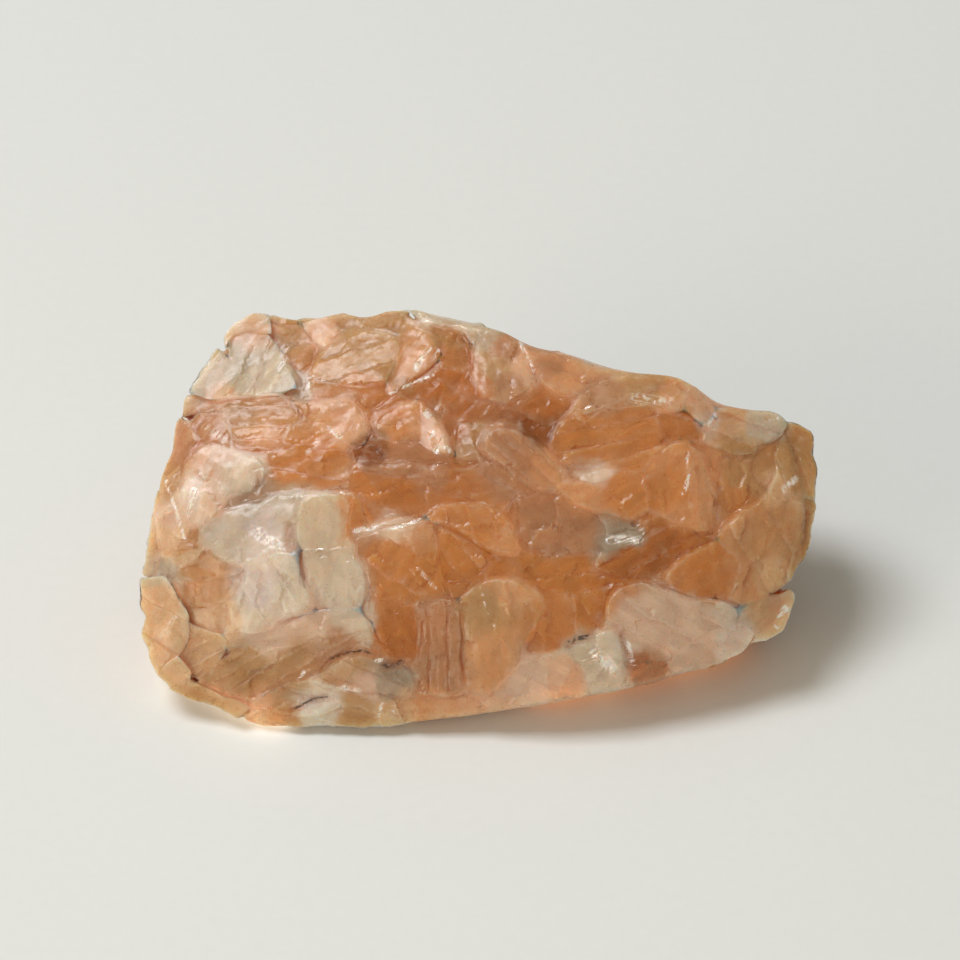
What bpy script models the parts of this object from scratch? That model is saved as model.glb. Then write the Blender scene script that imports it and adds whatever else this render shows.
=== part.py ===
"""A rough hand specimen of peach aragonite: one broken mass of crystals grown together.

The specimen lies on a flat broken base. Its show face, the fresh break at the front, leans back and
looks FACE_ELEVATION degrees above the horizon. Every crystal on it is a block with a flat cleaved top
that runs back into a plain core, so the blocks meet in the ledges, ridges and pits of the real break.
Smaller blocks cover the back and the ends in the same way.

Outlines on the show face are in millimetres: u to the right, v up the face, w straight out of it.
"""

import math
import random

import bmesh
import bpy
from mathutils import Matrix, Vector
from mathutils.bvhtree import BVHTree

MM = 0.001

# Driving dimensions, in millimetres and degrees.
FACE_ELEVATION = 40.0
FACE_CENTRE = Vector((0.0, 0.0, 18.1))
FACE_HALF_WIDTH = 49.0
FACE_HALF_HEIGHT = 31.5
RIM_DEPTH = 2.5
RIM_SLOPE = -0.19
BULGE = 10.5
STEEPEST = 0.85
RELIEF = 1.35
LEAN_GAIN = 1.35
BLOCK_BACK = -7.0
BLOCK_NARROWING = 0.84
RIM_FLATNESS = 0.12
CORE_RINGS = (0.94, 0.8, 0.6, 0.35)
CORE_SINK = 2.6
CORE_FLATNESS = 6.0
BASE_SINK = -0.6
CRACK_MOUTH = 4.0
CRACK_FLOOR = 0.25
SEED = 11
NODE = "crystal_mass"

FACE_TURN = Matrix.Rotation(math.radians(90.0 - FACE_ELEVATION), 3, "X")

# The rim of the show face, clockwise from the left end, as (u, v).
RIM = [
    (-47.0, -7.0), (-45.6, 1.0), (-43.6, 9.0), (-41.2, 17.5), (-38.0, 22.7), (-35.7, 26.3), (-32.5, 28.8),
    (-25.8, 28.1), (-19.5, 28.7), (-9.7, 29.3), (-1.0, 27.7), (5.0, 25.6), (12.0, 23.7), (21.0, 20.6),
    (28.5, 20.1), (33.0, 16.1), (42.0, 14.7), (46.6, 11.8), (47.2, 5.0), (46.8, -1.0), (43.5, -8.5),
    (43.4, -13.0), (37.5, -18.0), (30.0, -21.6), (19.0, -24.6), (5.0, -26.9), (-11.0, -29.0), (-22.0, -29.3),
    (-31.0, -29.1), (-37.0, -26.2), (-43.5, -23.6), (-46.2, -19.0),
]

# The core behind the show face, in the specimen's own frame: its base, its back and its ends.
CORE_BACK = [
    (-38, -3, 0), (-37, 12, 0), (-29, 21, 0), (0, 25, 0), (20, 20, 0), (28, 6, 0), (25, -10, 0),
    (8, -19, 0), (-20, -22, 0), (-33, -17, 0),
    (-42, 10, 14), (-33, 25, 13), (-5, 29, 12), (22, 24, 10), (38, 14, 11),
    (-31, 24, 30), (-8, 26, 29), (18, 22, 25), (39, 13, 21), (-41, 12, 27),
]


def crystal(name, outline, lift=0.0, lean=(0.0, 0.0), terraces=None):
    """One crystal of the show face: its outline, how far it stands proud, and how far its top leans.

    A positive first lean turns the top to the left, a negative second one turns it up the face.
    Terraces are cleavage steps over the top: how many, the way they climb in degrees, and their rise.
    """
    return {"name": name, "outline": outline, "lift": lift, "lean": lean, "terraces": terraces}


SHOW_FACE = [
    # Upper left corner and the top edge.
    crystal("white_wedge", [(-41.2, 17.4), (-38.9, 21.3), (-37.2, 23.9), (-36.6, 23.6), (-35.4, 22.2),
                            (-35.2, 26.0), (-32.4, 26.9), (-30.2, 26.2), (-26.5, 21.8), (-23.5, 17.3),
                            (-31.0, 16.9), (-36.5, 16.3)], 1.6, (4, 4), (1, 160, 0.5)),
    crystal("corner_cap", [(-35.9, 23.4), (-36.2, 25.3), (-34.9, 27.5), (-32.2, 28.9), (-29.6, 28.6),
                           (-29.4, 25.6), (-32.4, 26.6), (-35.0, 25.6)], 0.6, (16, -16)),
    crystal("upper_blade", [(-30.0, 28.6), (-25.8, 28.0), (-24.0, 24.6), (-23.2, 22.6), (-24.8, 19.6),
                            (-27.0, 21.6), (-29.8, 25.6)], -0.9, (-12, 2)),
    crystal("top_flake", [(-24.6, 27.6), (-21.4, 28.3), (-19.6, 26.1), (-20.6, 24.4), (-21.8, 23.6),
                          (-23.3, 24.0)], 0.9, (12, -14)),
    crystal("crown_back", [(-26.2, 28.0), (-22.8, 28.0), (-19.6, 28.8), (-16.2, 27.95), (-13.0, 29.1),
                           (-10.2, 29.2), (-10.6, 26.0), (-19.0, 24.6), (-23.2, 24.4)], -0.3, (0, -12)),
    crystal("crown_slab", [(-19.4, 26.2), (-15.0, 26.6), (-10.8, 25.6), (-11.4, 22.4), (-12.7, 18.4),
                           (-17.0, 18.3), (-21.0, 18.9), (-24.6, 19.8), (-22.6, 22.6)], 1.3, (8, 6), (2, 108, 0.4)),
    crystal("under_crown", [(-24.6, 20.0), (-20.0, 19.2), (-12.6, 18.6), (-12.6, 16.6), (-15.0, 14.6),
                            (-18.0, 16.6), (-21.5, 16.1), (-24.0, 16.6)], -0.6, (0, 18)),
    crystal("glint_blade", [(-10.8, 28.8), (-9.0, 27.4), (-4.8, 24.4), (-5.4, 22.4), (-7.2, 20.2),
                            (-10.2, 18.5), (-13.0, 16.4), (-12.8, 18.6), (-11.6, 22.6)], 1.1, (15, -2)),
    crystal("brown_top", [(-9.2, 27.6), (-5.0, 27.2), (-2.6, 26.2), (-1.8, 24.6), (-1.4, 19.8),
                          (-6.2, 21.0), (-5.0, 23.6)], -0.2, (-6, -2)),
    crystal("ridge", [(-10.6, 29.1), (-9.7, 29.35), (-5.3, 28.75), (-1.2, 27.6), (0.0, 27.85),
                      (2.2, 27.1), (0.8, 25.8), (-1.0, 23.8), (-2.6, 26.2), (-8.0, 27.2)], 0.5, (4, -14)),
    crystal("grey_block", [(-1.4, 23.6), (0.6, 26.2), (1.6, 27.4), (3.3, 26.9), (5.0, 25.6), (6.2, 24.2),
                           (6.8, 21.2), (8.2, 18.2), (5.0, 16.4), (2.4, 15.4), (0.2, 16.2), (-1.2, 19.6)],
            0.9, (9, 0)),
    crystal("shoulder", [(5.6, 24.9), (8.0, 23.5), (11.2, 23.8), (14.2, 22.6), (16.8, 21.6), (19.5, 21.3),
                         (19.0, 19.6), (15.2, 17.8), (12.8, 16.6), (10.0, 17.6), (7.8, 19.6), (6.6, 22.0)],
            0.0, (-6, -4)),
    crystal("shoulder_front", [(8.0, 19.8), (10.4, 18.2), (12.9, 16.4), (12.6, 14.4), (10.2, 13.2),
                               (8.6, 12.8), (5.2, 14.8), (2.6, 15.6), (5.2, 16.8)], -1.0, (-10, 10)),
    # Middle of the break.
    crystal("dark_hollow", [(-7.0, 20.4), (-6.0, 21.6), (-1.2, 21.6), (0.6, 16.0), (0.4, 12.6),
                            (-3.0, 9.6), (-5.2, 8.4), (-6.0, 14.0), (-8.0, 16.9), (-13.4, 15.2),
                            (-15.0, 14.3), (-12.0, 16.6), (-10.0, 18.6)], -2.2, (-14, 8), (2, 60, 0.4)),
    crystal("lozenge", [(-15.0, 13.8), (-13.0, 15.2), (-9.6, 16.4), (-8.2, 16.8), (-8.6, 13.0),
                        (-8.0, 10.3), (-11.5, 10.6), (-14.8, 11.2)], 0.4, (6, 4)),
    crystal("lozenge_side", [(-8.4, 16.8), (-7.3, 15.8), (-5.2, 12.8), (-4.7, 10.6), (-3.6, 8.2),
                             (-6.4, 8.8), (-8.4, 10.2), (-9.0, 13.0)], 0.6, (26, -12)),
    crystal("under_lozenge", [(-15.2, 11.2), (-8.0, 10.5), (-4.0, 8.6), (-4.4, 6.6), (-9.0, 7.0),
                              (-15.8, 7.8), (-16.4, 9.6)], -0.7, (4, 16)),
    crystal("heart", [(-19.6, 5.2), (-17.0, 8.0), (-10.0, 7.6), (-4.0, 7.0), (0.6, 6.6), (3.6, 5.6),
                      (5.6, 4.0), (3.4, 1.0), (-5.0, 1.6), (-9.0, -0.4), (-17.8, -2.4), (-16.0, 0.6)],
            -1.5, (0, 8), (2, 70, 0.35)),
    crystal("heart_shelf", [(-17.2, 8.2), (-9.0, 7.6), (-3.6, 6.8), (-4.4, 5.2), (-10.0, 5.6),
                            (-17.6, 6.4)], -0.5, (0, -6)),
    crystal("pink_beam", [(0.6, 12.8), (3.0, 13.4), (5.4, 13.5), (9.2, 9.8), (12.4, 6.4), (11.0, 3.8),
                          (8.0, 3.7), (4.6, 5.4), (2.6, 7.4), (-0.4, 9.4)], 1.8, (-6, 2), (3, 48, 0.35)),
    crystal("beam_back", [(-3.2, 13.4), (0.4, 13.2), (3.0, 13.0), (1.2, 7.6), (-3.8, 8.2),
                          (-3.4, 11.0)], -0.6, (10, 0)),
    crystal("beam_foot", [(0.6, 8.4), (3.2, 7.2), (4.6, 5.6), (8.2, 3.6), (6.4, 3.0), (2.6, 4.6),
                          (0.2, 6.0)], -0.2, (6, 18)),
    crystal("pit_wall", [(4.2, 15.2), (6.4, 14.6), (9.6, 12.6), (10.2, 10.2), (9.0, 9.4), (5.6, 12.6)],
            -4.0, (-10, 10)),
    # Right of the middle.
    crystal("cap", [(12.7, 16.0), (15.2, 18.4), (18.0, 20.1), (23.0, 20.35), (28.0, 20.2), (29.9, 19.4),
                    (29.2, 17.0), (27.6, 14.4), (24.0, 15.2), (20.0, 15.3), (16.5, 14.6), (14.6, 12.9),
                    (13.0, 14.2)], 1.9, (8, -8), (1, 110, 0.4)),
    crystal("cap_end", [(29.5, 19.7), (31.0, 18.5), (32.4, 16.5), (33.1, 14.6), (32.9, 13.2),
                        (31.6, 12.3), (30.0, 13.6), (28.0, 15.4), (28.9, 17.6)], 1.9, (-20, 0)),
    crystal("cap_foot", [(24.2, 15.4), (27.8, 14.6), (30.4, 13.4), (31.8, 12.2), (30.4, 10.6),
                         (28.0, 10.8), (25.6, 11.0), (24.4, 12.8)], -0.4, (-4, 14)),
    crystal("amber_face", [(9.2, 10.4), (10.3, 13.3), (13.0, 14.4), (16.5, 14.9), (20.0, 15.5),
                           (24.6, 15.2), (25.4, 12.6), (25.8, 10.6), (20.0, 8.0), (14.0, 6.9),
                           (11.0, 7.4)], 0.2, (-3, 8), (2, 100, 0.4)),
    crystal("amber_skirt", [(11.6, 7.4), (16.0, 7.4), (20.0, 8.2), (26.6, 10.9), (24.4, 8.4), (22.4, 5.8),
                            (19.0, 6.6), (12.6, 5.8)], 0.2, (6, 2)),
    crystal("pink_chip", [(12.6, 6.1), (17.6, 7.1), (19.4, 6.9), (17.6, 5.2), (15.2, 4.6)], 1.5, (18, -20)),
    crystal("rose_slab", [(10.2, 4.2), (13.0, 5.6), (15.2, 4.9), (17.6, 5.6), (19.4, 6.9), (22.4, 6.4),
                          (23.6, 3.6), (24.2, 0.8), (21.2, -0.4), (17.0, 0.5), (12.6, 2.0)],
            1.4, (-2, 6)),
    crystal("tall_face", [(22.2, 6.2), (24.2, 8.6), (26.8, 11.0), (29.6, 11.0), (30.2, 9.0), (29.0, 4.6),
                          (29.4, 1.4), (32.2, -2.8), (29.0, -1.7), (26.8, -0.4), (24.0, 0.9),
                          (23.2, 3.6)], 0.7, (9, 4)),
    crystal("tall_side", [(29.4, 10.6), (30.8, 9.8), (32.0, 5.4), (33.6, 2.0), (33.2, -1.0),
                          (32.3, -2.9), (29.2, 1.2), (28.8, 4.8)], 0.9, (-16, 4)),
    crystal("wing", [(31.4, 12.4), (33.0, 13.4), (32.9, 16.0), (38.8, 14.9), (40.2, 15.1), (42.2, 14.6),
                     (43.6, 13.2), (42.4, 11.2), (40.0, 9.9), (36.2, 7.7), (33.2, 9.4), (30.2, 10.4)],
            1.0, (4, 0), (2, 70, 0.35)),
    crystal("wing_pit", [(35.8, 8.2), (40.0, 10.4), (42.8, 11.6), (42.0, 8.4), (41.2, 2.4), (38.0, 1.2),
                         (33.8, -0.9), (32.6, 1.0), (33.4, 5.0), (33.6, 8.4)], -2.0, (-8, 6)),
    crystal("right_end", [(42.2, 11.4), (43.4, 13.6), (45.0, 13.0), (46.6, 11.9), (47.1, 10.0),
                          (46.9, 8.9), (47.3, 7.0), (46.9, 2.4), (43.0, 2.4), (40.2, 2.4), (41.0, 6.0),
                          (41.2, 8.8)], 0.4, (-16, -4), (2, 20, 0.4)),
    crystal("right_slab", [(40.0, 3.0), (43.0, 3.1), (45.4, 2.6), (45.2, -3.0), (43.2, -9.2),
                           (40.0, -11.4), (36.8, -12.9), (34.0, -11.4), (35.6, -8.2), (36.1, -6.0),
                           (34.4, -4.6), (32.5, -2.6), (34.0, -0.4), (38.0, 1.6)], 0.9, (-6, 4), (2, 30, 0.35)),
    crystal("right_edge", [(45.0, 2.8), (46.9, 2.6), (47.3, 1.6), (46.6, -0.6), (46.1, -4.0),
                           (45.6, -5.6), (43.8, -7.7), (43.3, -9.4), (42.4, -8.8), (43.6, -5.0),
                           (44.8, -2.0)], 0.2, (-34, 4)),
    crystal("tawny_face", [(25.0, -8.5), (26.2, -6.8), (28.6, -5.2), (32.0, -3.4), (32.9, -2.7),
                           (34.6, -4.6), (36.3, -6.0), (35.8, -8.2), (34.2, -11.3), (32.0, -11.0),
                           (29.5, -11.9), (26.8, -11.0)], 0.6, (-8, 10)),
    crystal("deep_amber", [(22.4, -0.4), (24.4, 1.0), (27.0, -0.4), (29.2, -1.6), (32.4, -3.0),
                           (28.6, -5.0), (25.6, -7.6), (25.2, -8.6), (19.6, -8.5), (15.6, -7.4),
                           (16.0, -4.8), (21.0, -3.6)], -1.4, (-4, 8), (2, 120, 0.4)),
    crystal("grey_valley", [(4.8, 3.8), (8.0, 4.4), (10.6, 4.6), (13.0, 2.2), (17.0, 0.8), (21.4, 0.0),
                            (23.4, -1.4), (22.0, -3.8), (17.0, -4.8), (12.0, -5.2), (6.8, -4.8),
                            (5.0, -2.4)], -1.2, (2, 2), (2, 10, 0.35)),
    crystal("white_scar", [(16.4, -3.4), (18.4, -1.8), (20.2, -1.6), (22.6, -2.2), (21.4, -3.8),
                           (17.0, -4.8)], -0.2, (8, -14)),
    # Centre and the bright inner faces.
    crystal("bright_slab", [(-7.0, 1.9), (2.0, 2.0), (3.2, 0.8), (4.6, -1.0), (5.2, -2.8), (5.5, -5.3),
                            (2.4, -5.1), (0.0, -4.4), (-1.6, -3.0), (-4.0, -1.2), (-7.4, -0.8)],
            0.5, (6, -2), (3, 188, 0.4)),
    crystal("ember_face", [(-6.4, -1.0), (-3.8, -1.4), (-1.6, -3.2), (0.2, -4.6), (2.6, -5.6),
                           (1.2, -7.4), (-1.0, -9.0), (-5.8, -9.2), (-6.8, -6.0)], -0.6, (2, 10), (2, 40, 0.3)),
    crystal("ember_foot", [(2.4, -5.0), (5.6, -5.0), (12.0, -5.0), (17.0, -4.6), (16.2, -7.2),
                           (18.2, -9.0), (12.0, -10.6), (8.0, -9.4), (4.0, -8.6), (0.8, -8.2),
                           (1.2, -7.0)], -1.8, (-2, 12)),
    crystal("glint_shelf", [(-18.4, -2.4), (-16.0, -1.3), (-8.6, 0.5), (-7.6, -0.6), (-12.0, -1.5),
                            (-18.2, -3.2)], -0.2, (0, -22)),
    crystal("scratched_face", [(-18.2, -2.6), (-12.0, -1.3), (-7.2, -0.6), (-6.0, -2.0), (-5.6, -6.0),
                               (-5.2, -9.4), (-4.0, -11.0), (-7.0, -12.2), (-12.0, -12.0),
                               (-14.6, -12.4), (-15.0, -9.6), (-16.4, -7.0), (-18.0, -4.0)],
            -0.5, (4, 4), (2, 60, 0.4)),
    crystal("column_left", [(-15.0, -11.6), (-10.4, -11.2), (-8.6, -12.0), (-8.0, -18.0), (-9.6, -21.4),
                            (-11.2, -19.6), (-13.8, -17.6), (-15.2, -15.2)], -0.9, (-10, 2)),
    crystal("column_mid", [(-8.9, -11.6), (-5.4, -11.2), (-2.8, -11.4), (-2.3, -17.0), (-1.9, -24.8),
                           (-5.0, -25.2), (-8.8, -24.4), (-9.8, -21.4), (-8.4, -18.0)], 0.2, (4, -2), (2, 0, 0.4)),
    crystal("column_pale", [(-3.0, -11.2), (-1.2, -9.4), (0.8, -7.9), (4.2, -8.1), (8.0, -9.2),
                            (9.4, -11.4), (8.6, -14.2), (6.4, -17.0), (5.6, -20.0), (2.2, -23.8),
                            (0.2, -25.3), (-2.0, -24.6), (-2.4, -17.4)], 1.0, (8, 0)),
    crystal("column_right", [(8.8, -9.6), (12.8, -10.6), (13.4, -16.2), (12.0, -18.2), (8.6, -19.4),
                             (5.8, -18.6), (7.2, -15.4), (9.0, -13.4)], -0.4, (-8, 4)),
    crystal("amber_foot", [(12.4, -10.6), (17.8, -9.0), (17.4, -11.6), (16.0, -16.4), (13.2, -16.8),
                           (12.6, -14.0)], -1.0, (-6, 6)),
    crystal("lower_middle", [(1.6, -24.4), (4.6, -20.2), (8.0, -18.8), (12.2, -17.6), (14.4, -20.6),
                             (15.8, -23.4), (15.4, -25.2), (12.0, -25.8), (5.0, -26.9), (0.6, -27.5),
                             (-0.4, -25.4)], 0.4, (2, 2), (2, 150, 0.35)),
    crystal("clear_rhomb", [(12.0, -18.3), (13.6, -17.0), (16.0, -16.0), (18.6, -15.2), (19.6, -17.2),
                            (20.8, -20.4), (19.0, -20.8), (16.4, -19.6), (14.0, -20.4)], 2.2, (10, -12), (1, 200, 0.4)),
    crystal("rhomb_front", [(13.6, -20.0), (16.4, -19.4), (20.7, -20.5), (20.2, -23.0), (19.8, -24.4),
                            (15.6, -25.2), (15.0, -23.0)], 1.8, (-4, 14)),
    crystal("pale_slab", [(17.8, -10.8), (18.2, -9.2), (20.2, -8.4), (24.8, -8.6), (25.4, -9.9),
                          (27.0, -11.0), (29.5, -11.9), (32.0, -11.0), (36.6, -12.9), (35.4, -15.2),
                          (30.0, -17.2), (26.0, -20.4), (21.2, -19.4), (19.4, -16.4), (16.2, -16.4)],
            1.0, (-2, 4), (3, 62, 0.35)),
    crystal("pale_foot", [(26.0, -20.6), (28.0, -18.0), (32.0, -16.0), (36.0, -15.0), (38.4, -16.4),
                          (37.4, -18.0), (36.3, -18.9), (32.0, -20.8), (28.0, -22.3), (25.2, -23.1)],
            0.9, (-4, 14)),
    crystal("rhomb_foot", [(19.6, -24.5), (20.4, -20.8), (23.4, -19.8), (26.2, -20.2), (25.9, -23.0),
                           (22.0, -23.9)], 0.2, (0, 10)),
    crystal("right_toe", [(35.6, -14.4), (36.8, -12.7), (40.0, -11.3), (43.0, -9.8), (43.8, -10.8),
                          (43.8, -12.0), (42.8, -14.6), (42.2, -15.8), (39.5, -17.2), (37.0, -17.6)],
            0.6, (-14, 12)),
    # Left of the middle.
    crystal("rose_ledge", [(-42.2, 13.8), (-41.3, 17.4), (-36.0, 17.6), (-31.0, 17.4), (-26.0, 17.2),
                           (-30.0, 16.6), (-35.0, 16.0), (-39.6, 14.6)], 0.3, (8, 10)),
    crystal("tawny_band", [(-40.6, 12.6), (-39.2, 14.8), (-34.2, 16.5), (-29.0, 17.0), (-27.0, 16.8),
                           (-24.8, 14.0), (-26.4, 12.0), (-33.0, 11.6), (-37.0, 11.0)], -0.4, (2, 2), (3, 92, 0.35)),
    crystal("tawny_step", [(-36.4, 12.2), (-32.8, 12.8), (-25.0, 13.2), (-26.0, 10.8), (-33.4, 10.8)],
            -0.1, (2, -6)),
    crystal("tawny_stair", [(-35.6, 11.4), (-33.0, 11.6), (-25.4, 11.8), (-26.2, 9.6), (-33.6, 9.6)],
            -0.2, (2, -8)),
    crystal("speckled_knob", [(-41.6, 12.6), (-39.4, 14.4), (-36.0, 14.6), (-34.8, 12.0), (-34.8, 9.6),
                              (-37.6, 9.6), (-39.6, 10.6)], 0.5, (12, 2)),
    crystal("pink_fan", [(-27.4, 17.0), (-24.0, 16.0), (-18.2, 16.8), (-16.4, 15.2), (-15.1, 13.0),
                         (-14.9, 11.6), (-15.8, 10.2), (-17.2, 9.4), (-18.6, 10.2), (-21.0, 12.2),
                         (-23.2, 13.0), (-25.2, 14.6)], 0.6, (4, 2)),
    crystal("honey_face", [(-26.8, 12.4), (-24.6, 14.0), (-22.0, 13.0), (-18.6, 10.6), (-17.8, 8.2),
                           (-17.6, 6.4), (-19.0, 4.4), (-22.0, 3.4), (-30.2, 3.0), (-30.2, 9.0),
                           (-27.6, 10.0)], -0.5, (-3, 3), (2, 80, 0.35)),
    crystal("pale_sail", [(-42.2, 4.6), (-41.2, 8.0), (-39.2, 10.3), (-35.5, 9.8), (-32.0, 9.1),
                          (-29.7, 8.1), (-29.6, 6.6), (-30.4, 3.8), (-33.0, 3.4), (-34.6, 3.1),
                          (-36.4, 0.6), (-38.6, -1.0), (-40.6, -1.6), (-41.8, 1.6)], 1.3, (6, 0)),
    crystal("sail_shadow", [(-36.4, 1.6), (-34.6, 3.6), (-30.0, 4.6), (-27.6, 3.2), (-31.0, 1.8),
                            (-36.0, 0.0)], -1.0, (0, 8)),
    crystal("rim_high", [(-43.5, 9.2), (-42.3, 14.2), (-40.6, 13.2), (-39.0, 10.6), (-41.0, 8.2),
                         (-42.2, 4.4), (-43.2, 4.0), (-45.0, 4.4)], 0.3, (24, -2)),
    crystal("rim_fin", [(-45.2, 3.6), (-44.8, 5.4), (-42.0, 5.2), (-41.6, 1.6), (-40.2, -1.8),
                        (-40.8, -3.5), (-42.6, -2.8), (-43.9, -0.8)], 0.6, (18, 4)),
    crystal("rim_dark", [(-46.0, 0.2), (-45.3, 3.8), (-43.8, 1.4), (-43.6, -1.6), (-42.4, -3.2),
                         (-39.4, -3.8), (-40.6, -5.4), (-44.0, -6.0), (-46.9, -6.2), (-46.5, -3.4)],
            -0.9, (14, 8)),
    crystal("rim_pale", [(-47.2, -8.2), (-46.9, -5.8), (-43.0, -5.2), (-38.0, -4.0), (-38.6, -6.2),
                         (-42.0, -7.0), (-42.8, -8.4), (-45.4, -8.8)], 0.4, (18, 8)),
    crystal("olive_face", [(-43.0, -8.2), (-42.0, -6.6), (-38.4, -5.8), (-37.6, -4.6), (-32.6, -5.6),
                           (-32.6, -9.4), (-34.2, -11.4), (-34.8, -15.8), (-38.2, -16.4), (-40.8, -14.2),
                           (-42.4, -11.6)], -0.3, (4, 0), (2, 100, 0.35)),
    crystal("left_knob", [(-47.3, -8.4), (-44.0, -8.2), (-42.2, -8.8), (-41.6, -11.6), (-40.2, -13.8),
                          (-40.6, -17.0), (-42.2, -20.4), (-44.8, -22.3), (-46.2, -20.0), (-46.3, -18.2),
                          (-47.0, -16.2), (-46.8, -13.9), (-47.4, -12.0)], 0.9, (14, 6), (2, 60, 0.5)),
    crystal("shell", [(-40.8, -14.6), (-38.4, -15.6), (-35.0, -16.2), (-34.8, -18.0), (-36.4, -20.4),
                      (-38.8, -22.3), (-40.6, -22.4), (-41.8, -20.4), (-41.8, -17.4)], 0.7, (4, 10), (3, 120, 0.4)),
    crystal("shell_toe", [(-42.0, -19.2), (-40.0, -21.8), (-40.8, -23.8), (-42.6, -24.2), (-44.9, -22.2),
                          (-43.6, -20.2)], 0.7, (16, 16)),
    # The large white crystal and what lies under it.
    crystal("white_back", [(-39.8, -3.8), (-38.6, 0.2), (-36.0, 0.9), (-31.0, 2.4), (-28.0, 3.3),
                           (-24.8, 3.8), (-24.6, 0.0), (-26.4, -1.6), (-27.2, -5.2), (-31.0, -6.4),
                           (-36.4, -6.2), (-38.0, -4.4)], 1.2, (6, -10)),
    crystal("white_right", [(-25.4, 3.8), (-20.0, 3.9), (-17.4, 3.6), (-18.3, -1.2), (-17.8, -3.4),
                            (-16.8, -6.2), (-15.2, -9.2), (-15.1, -11.0), (-16.2, -12.6),
                            (-23.4, -12.8), (-24.6, -9.0), (-25.6, -4.8)], 2.1, (-6, 6), (1, 92, 0.5)),
    crystal("white_corner", [(-19.0, 3.7), (-17.0, 3.4), (-16.0, 1.6), (-15.3, 0.3), (-15.5, -1.7),
                             (-18.8, -1.9)], 1.2, (-18, 2)),
    crystal("white_middle", [(-35.0, -15.6), (-34.6, -11.6), (-33.2, -9.2), (-31.8, -6.0), (-27.0, -4.6),
                             (-25.0, -3.8), (-23.8, -9.0), (-22.6, -12.9), (-28.0, -14.6),
                             (-30.6, -16.0)], 2.0, (5, 4), (2, 40, 0.3)),
    crystal("white_foot", [(-35.2, -17.8), (-35.2, -15.4), (-30.6, -15.6), (-22.6, -12.8),
                           (-16.0, -12.4), (-15.2, -13.8), (-14.9, -15.1), (-19.0, -16.0),
                           (-22.0, -16.2), (-26.0, -17.6), (-30.2, -18.8), (-32.0, -17.8),
                           (-33.6, -18.6)], 1.3, (0, 14)),
    crystal("brown_slope", [(-40.6, -24.2), (-38.4, -22.0), (-35.6, -19.4), (-33.6, -18.0),
                            (-30.2, -18.2), (-22.0, -15.8), (-15.0, -14.8), (-14.6, -17.0),
                            (-18.0, -18.0), (-20.4, -19.6), (-22.8, -22.2), (-27.0, -24.0),
                            (-33.0, -26.6), (-37.6, -26.1)], -0.8, (0, 6), (3, 122, 0.4)),
    crystal("left_toe", [(-43.6, -23.9), (-41.0, -22.6), (-37.0, -24.4), (-31.6, -26.4), (-33.6, -28.1),
                         (-35.4, -27.1), (-37.5, -26.2), (-40.4, -25.5)], 0.0, (6, 20)),
    crystal("low_shell", [(-15.4, -16.6), (-18.4, -18.3), (-20.6, -20.0), (-23.2, -22.8),
                          (-20.2, -24.4), (-16.0, -24.8), (-12.0, -25.4), (-9.0, -24.6), (-9.0, -22.0),
                          (-10.8, -19.6), (-13.2, -18.0)], 0.6, (4, 4), (3, 250, 0.35)),
    crystal("torn_flake", [(-26.4, -27.6), (-25.6, -26.2), (-21.8, -24.4), (-19.8, -24.2),
                           (-19.6, -26.0), (-22.6, -28.0)], 1.0, (8, -6)),
    crystal("bottom_left", [(-32.6, -28.6), (-33.6, -26.2), (-27.6, -23.6), (-22.6, -22.0),
                            (-19.0, -24.0), (-12.0, -24.8), (-10.4, -29.0), (-14.0, -29.3),
                            (-30.0, -29.2)], 0.0, (0, 8), (2, 75, 0.35)),
    crystal("bottom_middle", [(-12.8, -25.0), (-9.0, -23.8), (-4.6, -24.8), (-1.8, -24.4), (1.8, -25.2),
                              (2.4, -27.3), (-3.0, -28.0), (-11.0, -29.0)], 0.0, (0, 8)),
]

# Fine cracks and pits between the crystals, as a run of points with a width and a depth.
CRACKS = [
    ("crown_crack", [(-3.2, 25.0), (-1.5, 24.7), (-1.2, 23.4)], 0.7, 2.2),
    ("lozenge_pocket", [(-15.6, 9.8), (-14.2, 9.2), (-13.4, 8.4)], 1.5, 2.6),
    ("shell_arc", [(-20.6, -19.8), (-18.4, -18.7), (-16.4, -18.5), (-14.4, -19.1)], 0.8, 2.6),
    ("shell_pit", [(-13.6, -20.6), (-12.0, -20.5), (-10.6, -19.9)], 1.3, 3.0),
    ("toe_crack", [(-26.2, -26.9), (-24.4, -26.1), (-22.8, -25.3), (-20.6, -25.0)], 0.7, 2.4),
    ("middle_crack", [(-26.9, -0.8), (-26.2, -3.0), (-24.9, -5.8), (-24.1, -9.0)], 0.35, 1.0),
    ("column_crack", [(-2.6, -13.4), (-2.4, -18.6), (-2.2, -23.0)], 0.35, 1.4),
    ("column_seam", [(-8.2, -14.2), (-8.0, -17.2), (-8.8, -19.6)], 0.35, 1.4),
    ("rhomb_crack", [(20.6, -21.2), (21.9, -20.1), (23.2, -19.3)], 0.6, 2.0),
    ("root_crack", [(11.6, -17.6), (13.4, -16.9), (15.6, -16.5)], 0.9, 2.4),
    ("sail_crack", [(-31.2, 6.4), (-30.5, 4.4)], 0.5, 1.6),
]

# Blocks that cover the back and the ends: height up the specimen, how many, and the sweep they
# cover in degrees, where 0 is the right end and 90 is straight back.
BACK_ROWS = [(5.0, 9, -20.0, 208.0), (14.0, 9, -12.0, 198.0), (23.0, 8, 0.0, 184.0), (31.0, 5, 24.0, 160.0)]
BACK_MIDDLE = (-1.0, 2.0)
BACK_BLOCK_RADIUS = 9.8
BACK_BLOCK_DEPTH = 10.0
BACK_BLOCK_TILT = 14.0
BACK_BLOCK_LIFT = (0.3, 2.2)
RIM_CLEARANCE = 1.2
END_LIMIT = 45.5

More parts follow.
